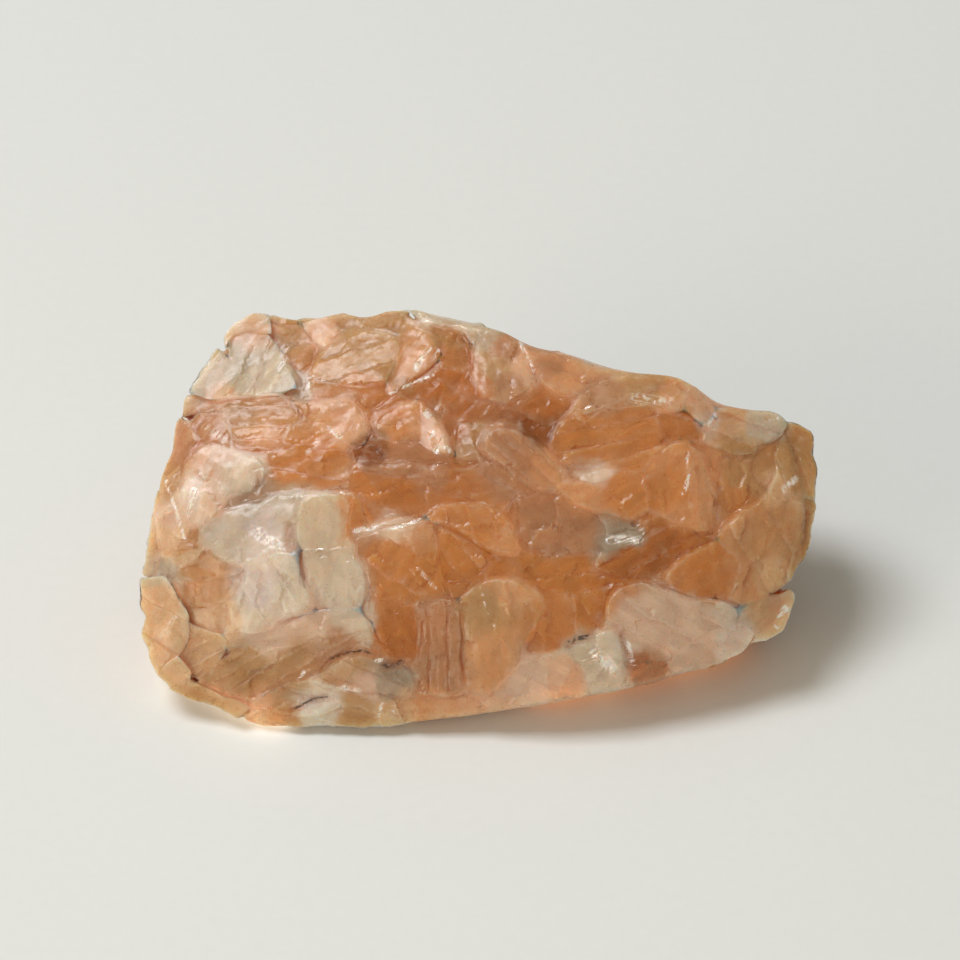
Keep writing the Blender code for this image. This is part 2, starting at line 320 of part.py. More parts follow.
SHORTEST_EDGE = 0.02
SAME_PLANE = 0.004
CRYSTAL_COLOUR = (0.62, 0.33, 0.17, 1.0)
CRYSTAL_ROUGHNESS = 0.32
CRYSTAL_IOR = 1.6


def clear_scene():
    """Removes whatever the scene starts with."""
    for obj in list(bpy.data.objects):
        bpy.data.objects.remove(obj)


def from_face(u, v, w):
    """The point u, v, w of the show face, in the specimen's frame, in millimetres."""
    return FACE_CENTRE + FACE_TURN @ Vector((u, v, w))


def limited(slope):
    """A slope held to what the break shows anywhere."""
    return max(-STEEPEST, min(STEEPEST, slope))


def dome(u, v):
    """How far the break bulges out of the face plane at u, v, and its slope along u and along v."""
    left = max(RIM_FLATNESS, 1.0 - (u / FACE_HALF_WIDTH) ** 2 - (v / FACE_HALF_HEIGHT) ** 2)
    height = RIM_DEPTH + RIM_SLOPE * v + BULGE * math.sqrt(left)
    slope_u = -BULGE * u / FACE_HALF_WIDTH**2 / math.sqrt(left)
    slope_v = RIM_SLOPE - BULGE * v / FACE_HALF_HEIGHT**2 / math.sqrt(left)
    return height, limited(slope_u), limited(slope_v)


def middle_of(outline):
    """The mean corner of an outline."""
    count = len(outline)
    return sum(p[0] for p in outline) / count, sum(p[1] for p in outline) / count


def anticlockwise(outline):
    """The outline run anticlockwise, whichever way it was given."""
    area = sum(p[0] * q[1] - q[0] * p[1] for p, q in zip(outline, outline[1:] + outline[:1]))
    return outline if area > 0.0 else outline[::-1]


def block(outline, top, depth, narrowing):
    """A closed block: a flat top over the outline, and sides that draw in towards its foot.

    The top is (height at the middle, slope along u, slope along v); the block comes back as a bmesh.
    """
    outline = anticlockwise(outline)
    mid_u, mid_v = middle_of(outline)
    height, slope_u, slope_v = top
    bm = bmesh.new()
    ring = [
        bm.verts.new((u, v, height + slope_u * (u - mid_u) + slope_v * (v - mid_v)))
        for u, v in outline
    ]
    lid = bm.faces.new(ring)
    grown = bmesh.ops.extrude_face_region(bm, geom=[lid], use_keep_orig=True)
    foot = [e for e in grown["geom"] if isinstance(e, bmesh.types.BMVert)]
    bmesh.ops.translate(bm, vec=(0.0, 0.0, -depth), verts=foot)
    centre = Matrix.Translation((mid_u, mid_v, height - depth))
    slanted = Matrix.Identity(4)
    slanted[2][0] = slope_u
    slanted[2][1] = slope_v
    shrink = Matrix.Diagonal((narrowing, narrowing, 1.0, 1.0))
    turn = centre @ slanted @ shrink @ slanted.inverted() @ centre.inverted()
    bmesh.ops.transform(bm, matrix=turn, verts=foot)
    bmesh.ops.recalc_face_normals(bm, faces=bm.faces)
    return bm


def cut_and_cap(bm, point, normal):
    """Keeps the part of a closed block behind the plane, and closes it again."""
    geom = bm.verts[:] + bm.edges[:] + bm.faces[:]
    bmesh.ops.bisect_plane(bm, geom=geom, plane_co=point, plane_no=normal, clear_outer=True)
    open_edges = [e for e in bm.edges if len(e.link_faces) == 1]
    if open_edges:
        bmesh.ops.holes_fill(bm, edges=open_edges)
    bmesh.ops.recalc_face_normals(bm, faces=bm.faces)


def terraced(outline, top, depth, narrowing, terraces):
    """The block, and the thinner and thinner slices that climb over it as cleavage steps."""
    made = [block(outline, top, depth, narrowing)]
    if terraces is None:
        return made
    count, heading, rise = terraces
    way = Vector((math.cos(math.radians(heading)), math.sin(math.radians(heading)), 0.0))
    reach = [way.x * u + way.y * v for u, v in outline]
    for step in range(1, count + 1):
        along = min(reach) + (max(reach) - min(reach)) * step / (count + 1.0)
        slice_top = (top[0] + rise * step, top[1], top[2])
        piece = block(outline, slice_top, depth, narrowing)
        cut_and_cap(piece, way * along, -way)
        made.append(piece)
    return made


def to_mesh(bm, name, place, group):
    """Turns a block in millimetres into a mesh object in metres, standing at its place."""
    bmesh.ops.transform(bm, matrix=Matrix.Scale(MM, 4) @ place, verts=bm.verts)
    mesh = bpy.data.meshes.new(name)
    bm.to_mesh(mesh)
    bm.free()
    obj = bpy.data.objects.new(name, mesh)
    group.objects.link(obj)
    return obj


def new_group(name):
    """A new collection in the scene."""
    group = bpy.data.collections.new(name)
    bpy.context.scene.collection.children.link(group)
    return group


def combine(body, group, operation):
    """Joins a whole group of blocks to the body in one step, or cuts it away, and removes it."""
    step = body.modifiers.new(name=group.name, type="BOOLEAN")
    step.operation = operation
    step.solver = "EXACT"
    step.operand_type = "COLLECTION"
    step.collection = group
    shaped = body.evaluated_get(bpy.context.evaluated_depsgraph_get())
    mesh = bpy.data.meshes.new_from_object(shaped)
    body.modifiers.clear()
    old = body.data
    body.data = mesh
    bpy.data.meshes.remove(old)
    for obj in list(group.objects):
        bpy.data.objects.remove(obj)
    bpy.data.collections.remove(group)


def make_core():
    """The plain lump behind the crystals: the hull of a sunken show face, the base and the back."""
    bm = bmesh.new()
    mid_u, mid_v = middle_of(RIM)
    for u, v in RIM:
        for share in CORE_RINGS:
            inner_u = mid_u + (u - mid_u) * share
            inner_v = mid_v + (v - mid_v) * share
            bm.verts.new(from_face(inner_u, inner_v, dome(inner_u, inner_v)[0] - CORE_SINK))
    for x, y, z in CORE_BACK:
        bm.verts.new((x, y, z + BASE_SINK * (z == 0)))
    hull = bmesh.ops.convex_hull(bm, input=bm.verts)
    spare = set(hull["geom_interior"]) | set(hull["geom_unused"])
    bmesh.ops.delete(bm, geom=[e for e in spare if isinstance(e, bmesh.types.BMVert)], context="VERTS")
    bmesh.ops.dissolve_limit(
        bm, angle_limit=math.radians(CORE_FLATNESS), verts=bm.verts, edges=bm.edges
    )
    bmesh.ops.triangulate(bm, faces=bm.faces)
    bmesh.ops.recalc_face_normals(bm, faces=bm.faces)
    return to_mesh(bm, NODE, Matrix.Identity(4), bpy.context.scene.collection)


def show_face_blocks(group):
    """Puts every crystal of the show face into the group."""
    place = Matrix.Translation(FACE_CENTRE) @ FACE_TURN.to_4x4()
    for spec in SHOW_FACE:
        height, slope_u, slope_v = dome(*middle_of(spec["outline"]))
        height += spec["lift"] * RELIEF
        slope_u += math.tan(math.radians(spec["lean"][0] * LEAN_GAIN))
        slope_v += math.tan(math.radians(spec["lean"][1] * LEAN_GAIN))
        top = (height, slope_u, slope_v)
        depth = height - BLOCK_BACK
        for piece in terraced(spec["outline"], top, depth, BLOCK_NARROWING, spec["terraces"]):
            to_mesh(piece, spec["name"], place, group)


def rim_height(u):
    """The upper rim of the show face at u."""
    top = [p for p in RIM if p[1] > -8.0]
    for (u0, v0), (u1, v1) in zip(top, top[1:]):
        if u0 <= u <= u1:
            return v0 + (v1 - v0) * (u - u0) / (u1 - u0)
    return -8.0


def hidden_by_rim(corner):
    """Moves a corner of a back block down until the rim of the show face stands over it."""
    up = FACE_TURN @ Vector((0.0, 1.0, 0.0))
    corner.x = max(-END_LIMIT, min(END_LIMIT, corner.x))
    over = (corner - FACE_CENTRE).dot(up) - (rim_height(corner.x) - RIM_CLEARANCE)
    if over > 0.0:
        corner -= up * over


def back_outline(rng):
    """The outline of one back block: an uneven polygon of four to six sides."""
    corners = rng.choice((4, 5, 5, 6))
    first = rng.uniform(0.0, 2.0 * math.pi)
    outline = []
    for corner in range(corners):
        turn = first + 2.0 * math.pi * (corner + rng.uniform(-0.18, 0.18)) / corners
        far = BACK_BLOCK_RADIUS * rng.uniform(0.8, 1.15)
        outline.append((far * math.cos(turn), far * math.sin(turn)))
    return outline


def back_blocks(body, group):
    """Covers the back and the ends with blocks of the same habit, larger and plainer."""
    rng = random.Random(SEED)
    core = BVHTree.FromObject(body, bpy.context.evaluated_depsgraph_get())
    for row_height, count, start, end in BACK_ROWS:
        for index in range(count):
            sweep = math.radians(start + (end - start) * (index + rng.uniform(0.3, 0.7)) / count)
            height = row_height + rng.uniform(-2.0, 2.0)
            axis = Vector((BACK_MIDDLE[0], BACK_MIDDLE[1], height)) * MM
            out = Vector((math.cos(sweep), math.sin(sweep), 0.0))
            outer = axis + out
            hit, normal, _, _ = core.ray_cast(outer, -out)
            facing = (normal + out * 0.3).normalized()
            lean = [math.tan(math.radians(rng.uniform(-1.0, 1.0) * BACK_BLOCK_TILT)) for _ in range(2)]
            top = (rng.uniform(*BACK_BLOCK_LIFT), lean[0], lean[1])
            steps = rng.choice((None, None, (1, rng.uniform(0.0, 360.0), 0.9)))
            turned = facing.to_track_quat("Z", "X").to_matrix().to_4x4()
            place = Matrix.Translation(hit / MM) @ turned
            outline = back_outline(rng)
            for piece in terraced(outline, top, BACK_BLOCK_DEPTH, BLOCK_NARROWING, steps):
                bmesh.ops.transform(piece, matrix=place, verts=piece.verts)
                for vert in piece.verts:
                    hidden_by_rim(vert.co)
                drop_inside(piece, bmesh.ops.convex_hull(piece, input=piece.verts))
                to_mesh(piece, "back_block", Matrix.Identity(4), group)


def drop_inside(bm, hull):
    """Leaves only the outer skin of a hull."""
    kept = {f for f in hull["geom"] if isinstance(f, bmesh.types.BMFace)}
    bmesh.ops.delete(bm, geom=[f for f in bm.faces if f not in kept], context="FACES")
    bmesh.ops.delete(bm, geom=[v for v in bm.verts if not v.link_faces], context="VERTS")
    bmesh.ops.recalc_face_normals(bm, faces=bm.faces)


def crack_wedges(group):
    """Puts one narrow wedge into the group for each stretch of a crack."""
    place = Matrix.Translation(FACE_CENTRE) @ FACE_TURN.to_4x4()
    for name, run, width, depth in CRACKS:
        for (u0, v0), (u1, v1) in zip(run, run[1:]):
            along = Vector((u1 - u0, v1 - v0, 0.0))
            side = Vector((-along.y, along.x, 0.0)).normalized() * width / 2.0
            bm = bmesh.new()
            for u, v, share in ((u0, v0, -0.1), (u1, v1, 1.1)):
                spot = Vector((u0, v0, 0.0)) + along * share
                mouth = dome(u, v)[0] + CRACK_MOUTH
                spread = side * (depth + CRACK_MOUTH) / depth
                bm.verts.new(spot + side * CRACK_FLOOR + Vector((0.0, 0.0, mouth - CRACK_MOUTH - depth)))
                bm.verts.new(spot - side * CRACK_FLOOR + Vector((0.0, 0.0, mouth - CRACK_MOUTH - depth)))
                bm.verts.new(spot + spread + Vector((0.0, 0.0, mouth)))
                bm.verts.new(spot - spread + Vector((0.0, 0.0, mouth)))
            drop_inside(bm, bmesh.ops.convex_hull(bm, input=bm.verts))
            to_mesh(bm, name, place, group)


def clear_slivers(bm):
    """Closes up edges too short to matter, wherever that leaves the skin whole."""
    edges = sorted(bm.edges, key=lambda e: e.calc_length())
    for edge in [e for e in edges if e.calc_length() < SHORTEST_EDGE * MM]:
        if not edge.is_valid or edge.calc_length() >= SHORTEST_EDGE * MM:
            continue
        one, two = edge.verts
        near_one = {e.other_vert(one) for e in one.link_edges}
        near_two = {e.other_vert(two) for e in two.link_edges}
        if len(near_one & near_two) == 2 and len(near_one | near_two) > 4:
            bmesh.ops.pointmerge(bm, verts=[one, two], merge_co=two.co.copy())


def clear_crumbs(bm):
    """Takes off the splinters the cuts left loose, so the body is one piece."""
    unseen = set(bm.verts)
    pieces = []
    while unseen:
        piece = set()
        front = [unseen.pop()]
        while front:
            vert = front.pop()
            piece.add(vert)
            fresh = {e.other_vert(vert) for e in vert.link_edges} & unseen
            unseen -= fresh
            front.extend(fresh)
        pieces.append(piece)
    pieces.sort(key=len)
    for piece in pieces[:-1]:
        bmesh.ops.delete(bm, geom=list(piece), context="VERTS")


def finish_body(body):
    """Cuts the flat base, clears slivers, stands the body over the origin and gives it its material."""
    bm = bmesh.new()
    bm.from_mesh(body.data)
    geom = bm.verts[:] + bm.edges[:] + bm.faces[:]
    bmesh.ops.bisect_plane(bm, geom=geom, plane_co=(0, 0, 0), plane_no=(0, 0, -1), clear_outer=True)
    bmesh.ops.holes_fill(bm, edges=[e for e in bm.edges if len(e.link_faces) == 1])
    bmesh.ops.dissolve_limit(bm, angle_limit=SAME_PLANE, verts=bm.verts, edges=bm.edges)
    bmesh.ops.triangulate(bm, faces=bm.faces)
    clear_slivers(bm)
    clear_crumbs(bm)
    low = [min(vert.co[axis] for vert in bm.verts) for axis in range(2)]
    high = [max(vert.co[axis] for vert in bm.verts) for axis in range(2)]
    centre = Vector(((low[0] + high[0]) / 2.0, (low[1] + high[1]) / 2.0, 0.0))
    bmesh.ops.translate(bm, vec=-centre, verts=bm.verts)
    bmesh.ops.recalc_face_normals(bm, faces=bm.faces)
    bm.to_mesh(body.data)
    bm.free()
    for face in body.data.polygons:
        face.use_smooth = False
    material = bpy.data.materials.new("crystal")
    material.use_nodes = True
    shader = material.node_tree.nodes["Principled BSDF"]
    shader.inputs["Base Color"].default_value = CRYSTAL_COLOUR
    shader.inputs["Roughness"].default_value = CRYSTAL_ROUGHNESS
    shader.inputs["Metallic"].default_value = 0.0
    shader.inputs["IOR"].default_value = CRYSTAL_IOR
    body.data.materials.clear()
    body.data.materials.append(material)


def main():
    """Builds the specimen."""
    clear_scene()
    body = make_core()
    blocks = new_group("blocks")
    back_blocks(body, blocks)
    show_face_blocks(blocks)
    combine(body, blocks, "UNION")
    cracks = new_group("cracks")
    crack_wedges(cracks)
    combine(body, cracks, "DIFFERENCE")
    finish_body(body)


main()
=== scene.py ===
"""Dresses the peach aragonite hand specimen: one mass of broken crystals on a pale table.

The show face leans back. Places on it are given as u to the right and v up the face, in millimetres,
and w straight out of it.
"""

from __future__ import annotations

import logging
import math
from dataclasses import dataclass, field
from enum import Enum, IntEnum
from typing import Any, Sequence

import bmesh
import bpy
import numpy as np
from mathutils import Matrix, Vector, noise
from mathutils.bvhtree import BVHTree
from mathutils.kdtree import KDTree


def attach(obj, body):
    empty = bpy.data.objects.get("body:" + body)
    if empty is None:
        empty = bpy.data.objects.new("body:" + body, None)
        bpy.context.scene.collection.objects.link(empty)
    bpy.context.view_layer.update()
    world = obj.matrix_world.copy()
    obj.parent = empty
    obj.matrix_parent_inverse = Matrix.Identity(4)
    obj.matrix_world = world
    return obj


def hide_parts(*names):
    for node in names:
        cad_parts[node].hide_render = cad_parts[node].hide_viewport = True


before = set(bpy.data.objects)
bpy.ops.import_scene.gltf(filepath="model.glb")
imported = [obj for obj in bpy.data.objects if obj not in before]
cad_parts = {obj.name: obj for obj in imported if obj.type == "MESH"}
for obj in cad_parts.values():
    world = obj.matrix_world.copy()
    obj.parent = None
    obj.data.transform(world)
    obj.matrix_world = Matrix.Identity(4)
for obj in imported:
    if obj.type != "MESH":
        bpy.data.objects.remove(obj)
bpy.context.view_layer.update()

LOG = logging.getLogger("specimen")
MM = 0.001

FACE_ELEVATION = math.radians(40.0)
FACE_CENTRE = Vector((0.05, -2.504, 18.1))
FACE_RIGHT = Vector((1.0, 0.0, 0.0))
FACE_UP = Vector((0.0, math.sin(FACE_ELEVATION), math.cos(FACE_ELEVATION)))
FACE_OUT = Vector((0.0, -math.cos(FACE_ELEVATION), math.sin(FACE_ELEVATION)))
RIGHT, UP, OUT = np.array(FACE_RIGHT), np.array(FACE_UP), np.array(FACE_OUT)

# Steps that scatter whole numbers evenly between 0 and 1, one for each use.
GOLDEN_STEP = 0.6180339
PLASTIC_STEP = 0.7548777
CUBIC_STEP = 0.5698403


def on_face(u: float, v: float, w: float) -> Vector:
    """Turns a place on the show face into the specimen's frame.

    Args:
        u: Millimetres to the right.
        v: Millimetres up the face.
        w: Millimetres out of the face.

    Returns:
        The point in metres.
    """
    return (FACE_CENTRE + FACE_RIGHT * u + FACE_UP * v + FACE_OUT * w) * MM


def seen_at(place: Vector) -> tuple[float, float, float]:
    """Finds where a point lies on the show face.

    Args:
        place: The point in the specimen's frame, in metres.

    Returns:
        Its u, v and w in millimetres.
    """
    rel = place / MM - FACE_CENTRE
    return rel.dot(FACE_RIGHT), rel.dot(FACE_UP), rel.dot(FACE_OUT)


def all_seen_at(places: np.ndarray) -> tuple[np.ndarray, np.ndarray, np.ndarray]:
    """Finds where many points lie on the show face.

    Args:
        places: The points in the specimen's frame, a row each, in millimetres.

    Returns:
        Their u, v and w in millimetres.
    """
    rel = places - np.array(FACE_CENTRE)
    return rel @ RIGHT, rel @ UP, rel @ OUT


def scattered(numbers: np.ndarray, step: float, start: float = 0.0) -> np.ndarray:
    """Scatters whole numbers evenly between 0 and 1, the same way each time."""
    return np.mod(numbers * step + start, 1.0)


def linear(red: float, green: float, blue: float) -> tuple[float, float, float]:
    """Turns a screen colour of 0 to 255 into linear light.

    Args:
        red: Screen red.
        green: Screen green.
        blue: Screen blue.

    Returns:
        The three linear values.
    """
    parts = []
    for value in (red, green, blue):
        share = value / 255.0
        parts.append(share / 12.92 if share <= 0.04045 else ((share + 0.055) / 1.055) ** 2.4)
    return parts[0], parts[1], parts[2]


@dataclass(frozen=True)
class Tint:
    """One crystal's own colour.

    Args:
        colour: Screen colour, 0 to 255.
        milk: How much white veil hangs in it, 0 to 1.
    """

    colour: tuple[int, int, int]
    milk: float


class Finish(Enum):
    """The crystal colours found in the mass, from the whitest to the darkest."""

    SNOW = Tint((236, 224, 216), 0.9)
    LILAC_MILK = Tint((214, 200, 200), 0.85)
    MILK = Tint((220, 204, 188), 0.8)
    PEARL = Tint((222, 198, 176), 0.7)
    ROSE_MILK = Tint((226, 190, 170), 0.7)
    GREY_VEIL = Tint((198, 180, 160), 0.75)
    BLUSH = Tint((230, 176, 144), 0.5)
    PEACH = Tint((222, 156, 112), 0.4)
    CREAM = Tint((224, 178, 140), 0.45)
    HONEY = Tint((208, 148, 104), 0.3)
    TAN = Tint((196, 144, 100), 0.3)
    TAWNY = Tint((186, 132, 86), 0.25)
    OLIVE = Tint((186, 140, 102), 0.3)
    BROWN_ROSE = Tint((192, 132, 98), 0.3)
    APRICOT = Tint((212, 136, 82), 0.25)
    ORANGE = Tint((208, 130, 72), 0.18)
    AMBER = Tint((196, 118, 64), 0.16)
    DEEP_AMBER = Tint((184, 106, 54), 0.1)
    SMOKE = Tint((170, 146, 130), 0.4)
    UMBER = Tint((140, 76, 38), 0.05)


@dataclass(frozen=True)
class Patch:
    """Where a crystal of the show face lies, its colour and the way its grain runs.

    Args:
        u: Millimetres to the right.
        v: Millimetres up the face.
        finish: Its colour.
        grain: The way its grain runs, degrees anticlockwise from the right.
    """

    u: float
    v: float
    finish: Finish
    grain: float


F = Finish
PATCHES: tuple[Patch, ...] = tuple(
    Patch(*row)
    for row in (
        # Upper left corner and the top edge.
        (-34.5, 20.5, F.GREY_VEIL, 70), (-30.0, 20.0, F.MILK, 60), (-27.0, 19.0, F.GREY_VEIL, 55),
        (-38.5, 18.5, F.GREY_VEIL, 30), (-34.0, 27.0, F.ROSE_MILK, 20), (-31.0, 27.6, F.BLUSH, 10),
        (-36.6, 17.2, F.BLUSH, 5), (-27.0, 25.0, F.TAN, 60), (-25.5, 21.5, F.HONEY, 60),
        (-22.4, 26.0, F.BLUSH, 100), (-17.5, 27.6, F.TAN, 15), (-12.5, 27.8, F.TAN, 15),
        (-16.5, 23.5, F.TAN, 20), (-12.5, 21.0, F.TAN, 70), (-20.5, 21.5, F.TAN, 30),
        (-18.5, 17.6, F.PEACH, 5), (-14.5, 16.4, F.APRICOT, 20), (-8.5, 25.0, F.HONEY, 60),
        (-9.5, 21.0, F.PEACH, 55), (-10.8, 18.4, F.TAWNY, 40), (-4.0, 25.8, F.TAWNY, 70),
        (-3.0, 22.3, F.AMBER, 80), (-6.5, 28.4, F.MILK, 175), (-2.2, 27.6, F.MILK, 160),
        (0.6, 26.4, F.GREY_VEIL, 120), (2.0, 21.5, F.TAN, 100), (4.6, 24.0, F.BROWN_ROSE, 110),
        (3.6, 18.0, F.BROWN_ROSE, 100), (6.8, 21.2, F.BLUSH, 110), (9.6, 21.5, F.BROWN_ROSE, 150),
        (14.0, 20.6, F.PEACH, 150), (18.5, 20.8, F.CREAM, 165), (11.0, 18.0, F.PEACH, 140),
        (9.0, 15.6, F.AMBER, 30),
        # The middle of the break.
        (-8.5, 18.2, F.AMBER, 30), (-4.0, 17.5, F.AMBER, 50), (-3.0, 13.0, F.DEEP_AMBER, 60),
        (-1.6, 19.0, F.AMBER, 70), (-12.6, 13.0, F.APRICOT, 25), (-10.0, 14.8, F.PEACH, 25),
        (-6.6, 12.6, F.BLUSH, 65), (-5.6, 15.2, F.BROWN_ROSE, 65), (-10.5, 9.2, F.BROWN_ROSE, 10),
        (-14.8, 9.2, F.UMBER, 10), (-13.0, 6.9, F.BROWN_ROSE, 5), (-7.5, 6.4, F.BROWN_ROSE, 5),
        (-12.0, 3.0, F.AMBER, 5), (-3.0, 4.0, F.AMBER, 5), (-16.4, 1.4, F.APRICOT, 80),
        (2.0, 10.2, F.BROWN_ROSE, 135), (5.4, 9.6, F.BROWN_ROSE, 135), (8.6, 6.6, F.PEACH, 135),
        (-1.4, 11.0, F.TAWNY, 120), (4.2, 5.0, F.BROWN_ROSE, 150), (7.6, 12.6, F.UMBER, 40),
        # Right of the middle.
        (17.0, 17.6, F.BROWN_ROSE, 160), (23.5, 18.4, F.TAN, 170), (26.5, 16.6, F.PEACH, 160),
        (30.6, 16.8, F.BLUSH, 110), (31.2, 14.2, F.ROSE_MILK, 110), (28.2, 12.6, F.APRICOT, 30),
        (14.0, 11.0, F.ORANGE, 20), (19.0, 11.6, F.APRICOT, 20), (23.6, 12.2, F.APRICOT, 20),
        (16.0, 8.2, F.APRICOT, 20), (22.6, 8.6, F.APRICOT, 30), (15.8, 6.0, F.ROSE_MILK, 20),
        (14.0, 3.6, F.PEACH, 30), (19.5, 3.4, F.APRICOT, 35), (22.2, 1.4, F.ORANGE, 35),
        (25.4, 8.0, F.PEACH, 70), (27.0, 4.6, F.APRICOT, 75), (28.5, 0.6, F.PEACH, 75),
        (31.0, 6.0, F.PEACH, 80), (32.4, 0.6, F.PEACH, 80), (35.4, 13.0, F.HONEY, 25),
        (40.4, 12.6, F.GREY_VEIL, 25), (35.6, 9.6, F.TAN, 30), (37.4, 5.4, F.TAN, 100),
        (35.0, 2.0, F.APRICOT, 100), (40.4, 8.8, F.TAN, 100), (44.0, 10.4, F.TAWNY, 100),
        (44.4, 5.0, F.TAN, 100), (41.6, 3.8, F.CREAM, 100), (38.0, -3.0, F.HONEY, 60),
        (42.0, -1.0, F.HONEY, 70), (40.0, -8.6, F.CREAM, 60), (36.6, -9.6, F.PEACH, 60),
        (44.8, -4.6, F.TAN, 80), (30.5, -6.0, F.ORANGE, 40), (33.0, -9.4, F.APRICOT, 40),
        (27.0, -8.4, F.APRICOT, 40), (26.0, -3.0, F.DEEP_AMBER, 40), (20.0, -6.8, F.AMBER, 30),
        (24.0, -5.4, F.DEEP_AMBER, 40), (8.6, 1.4, F.BROWN_ROSE, 20), (13.0, -2.4, F.BROWN_ROSE, 15),
        (19.6, -3.0, F.SMOKE, 20), (9.0, -3.6, F.BROWN_ROSE, 10),
        # The bright inner faces and the foot of the centre.
        (1.2, 0.2, F.APRICOT, 10), (-4.0, 0.6, F.APRICOT, 10), (-2.6, -5.0, F.ORANGE, 50),
        (3.6, -3.0, F.PEACH, 10), (0.4, -6.0, F.ORANGE, 50), (8.0, -7.0, F.ORANGE, 20),
        (14.0, -8.0, F.ORANGE, 60), (-13.0, -1.4, F.ROSE_MILK, 10), (-12.0, -5.0, F.APRICOT, 80),
        (-8.6, -7.6, F.ORANGE, 60), (-12.6, -10.4, F.APRICOT, 80), (-12.0, -16.0, F.AMBER, 100),
        (-6.0, -15.0, F.BROWN_ROSE, 90), (-5.6, -21.6, F.BROWN_ROSE, 90), (1.0, -12.6, F.TAN, 95),
        (4.4, -10.0, F.PEACH, 95), (1.6, -20.0, F.PEACH, 95), (10.6, -14.0, F.APRICOT, 80),
        (15.4, -12.4, F.ORANGE, 75), (6.6, -22.6, F.ROSE_MILK, 150), (12.4, -22.0, F.BLUSH, 150),
        (14.5, -18.4, F.GREY_VEIL, 30), (18.4, -17.6, F.MILK, 20), (17.6, -22.6, F.MILK, 60),
        (20.6, -14.6, F.ROSE_MILK, 150), (25.6, -12.6, F.ROSE_MILK, 150), (30.4, -14.6, F.ROSE_MILK, 150),
        (34.0, -13.6, F.MILK, 150), (29.4, -18.6, F.ROSE_MILK, 160), (35.6, -17.0, F.SNOW, 160),
        (23.0, -22.0, F.BROWN_ROSE, 20), (40.0, -14.0, F.CREAM, 30), (42.4, -12.6, F.BLUSH, 30),
        # Left of the middle.
        (-33.4, 14.0, F.TAN, 4), (-28.6, 14.6, F.HONEY, 4), (-30.0, 11.2, F.PEACH, 4),
        (-38.0, 12.4, F.BROWN_ROSE, 60), (-21.0, 14.6, F.PEACH, 30), (-18.0, 12.4, F.BLUSH, 30),
        (-23.0, 9.0, F.ORANGE, 20), (-27.0, 6.6, F.APRICOT, 20), (-20.0, 6.4, F.APRICOT, 20),
        (-36.6, 7.0, F.ROSE_MILK, 75), (-33.4, 5.6, F.MILK, 60), (-40.2, 2.6, F.SNOW, 70),
        (-37.6, 2.0, F.ROSE_MILK, 70), (-31.4, 2.6, F.SMOKE, 20), (-42.2, 9.6, F.BROWN_ROSE, 70),
        (-43.6, 5.2, F.TAN, 70), (-42.8, 0.4, F.ROSE_MILK, 60), (-43.6, -4.0, F.CREAM, 60),
        (-44.4, -7.0, F.GREY_VEIL, 170), (-39.8, -5.6, F.TAN, 170), (-38.6, -10.0, F.HONEY, 80),
        (-36.0, -13.6, F.CREAM, 80), (-44.4, -12.0, F.CREAM, 60), (-43.8, -17.6, F.CREAM, 60),
        (-38.0, -18.6, F.CREAM, 130), (-41.0, -21.8, F.CREAM, 130),
        # The large white crystal and what lies under it.
        (-36.0, -2.6, F.GREY_VEIL, 40), (-30.0, -1.0, F.LILAC_MILK, 40), (-27.0, 1.6, F.GREY_VEIL, 10),
        (-29.6, -4.2, F.SNOW, 40), (-21.6, 0.4, F.PEARL, 92), (-21.6, -5.4, F.PEARL, 92),
        (-18.4, -9.4, F.MILK, 92), (-17.0, 1.2, F.APRICOT, 92), (-30.6, -9.6, F.LILAC_MILK, 70),
        (-26.6, -10.4, F.MILK, 70), (-31.6, -13.8, F.MILK, 70), (-29.0, -16.4, F.ROSE_MILK, 15),
        (-22.0, -14.6, F.ROSE_MILK, 10), (-17.6, -14.0, F.MILK, 10), (-32.6, -21.4, F.TAN, 35),
        (-37.0, -23.6, F.CREAM, 35), (-26.0, -20.6, F.TAN, 35), (-20.0, -17.2, F.BROWN_ROSE, 25),
        (-38.4, -25.0, F.TAN, 30), (-18.4, -21.2, F.TAN, 60), (-13.4, -22.6, F.SMOKE, 60),
        (-16.0, -23.6, F.ROSE_MILK, 60), (-22.8, -26.0, F.SNOW, 30), (-30.4, -26.6, F.CREAM, 5),
        (-17.4, -26.6, F.TAN, 170), (-27.0, -28.0, F.TAN, 5), (-12.4, -27.4, F.CREAM, 90),
        (-6.0, -26.6, F.PEACH, 5), (0.6, -26.4, F.BLUSH, 5),
    )
)

# What covers the faces that the show face hides, by how often it comes up.
HIDDEN_FINISHES: tuple[Finish, ...] = (
    F.HONEY, F.PEACH, F.APRICOT, F.TAN, F.BROWN_ROSE, F.BLUSH, F.TAWNY, F.CREAM, F.ROSE_MILK,
    F.AMBER, F.PEACH, F.TAN, F.GREY_VEIL, F.HONEY, F.MILK,
)


def finish_values(finishes: Sequence[Finish]) -> np.ndarray:
    """The linear colour and the milk of some finishes, a row each."""
    return np.array([linear(*f.value.colour) + (f.value.milk,) for f in finishes])


@dataclass(frozen=True)
class Trace:
    """A fleck or a line that runs over the show face: dark dirt in a crack, or a splintered ridge with a
    painted highlight.

    Args:
        width: Its width in millimetres.
        strength: How marked it is, 0 to 1.
        run: The places it passes, as (u, v).
    """

    width: float
    strength: float
    run: tuple[tuple[float, float], ...]


def traces(*rows: Sequence[Any]) -> tuple[Trace, ...]:
    """Makes a trace of each row: its width, its strength and then the places it passes."""
    return tuple(Trace(width, strength, tuple(run)) for width, strength, *run in rows)


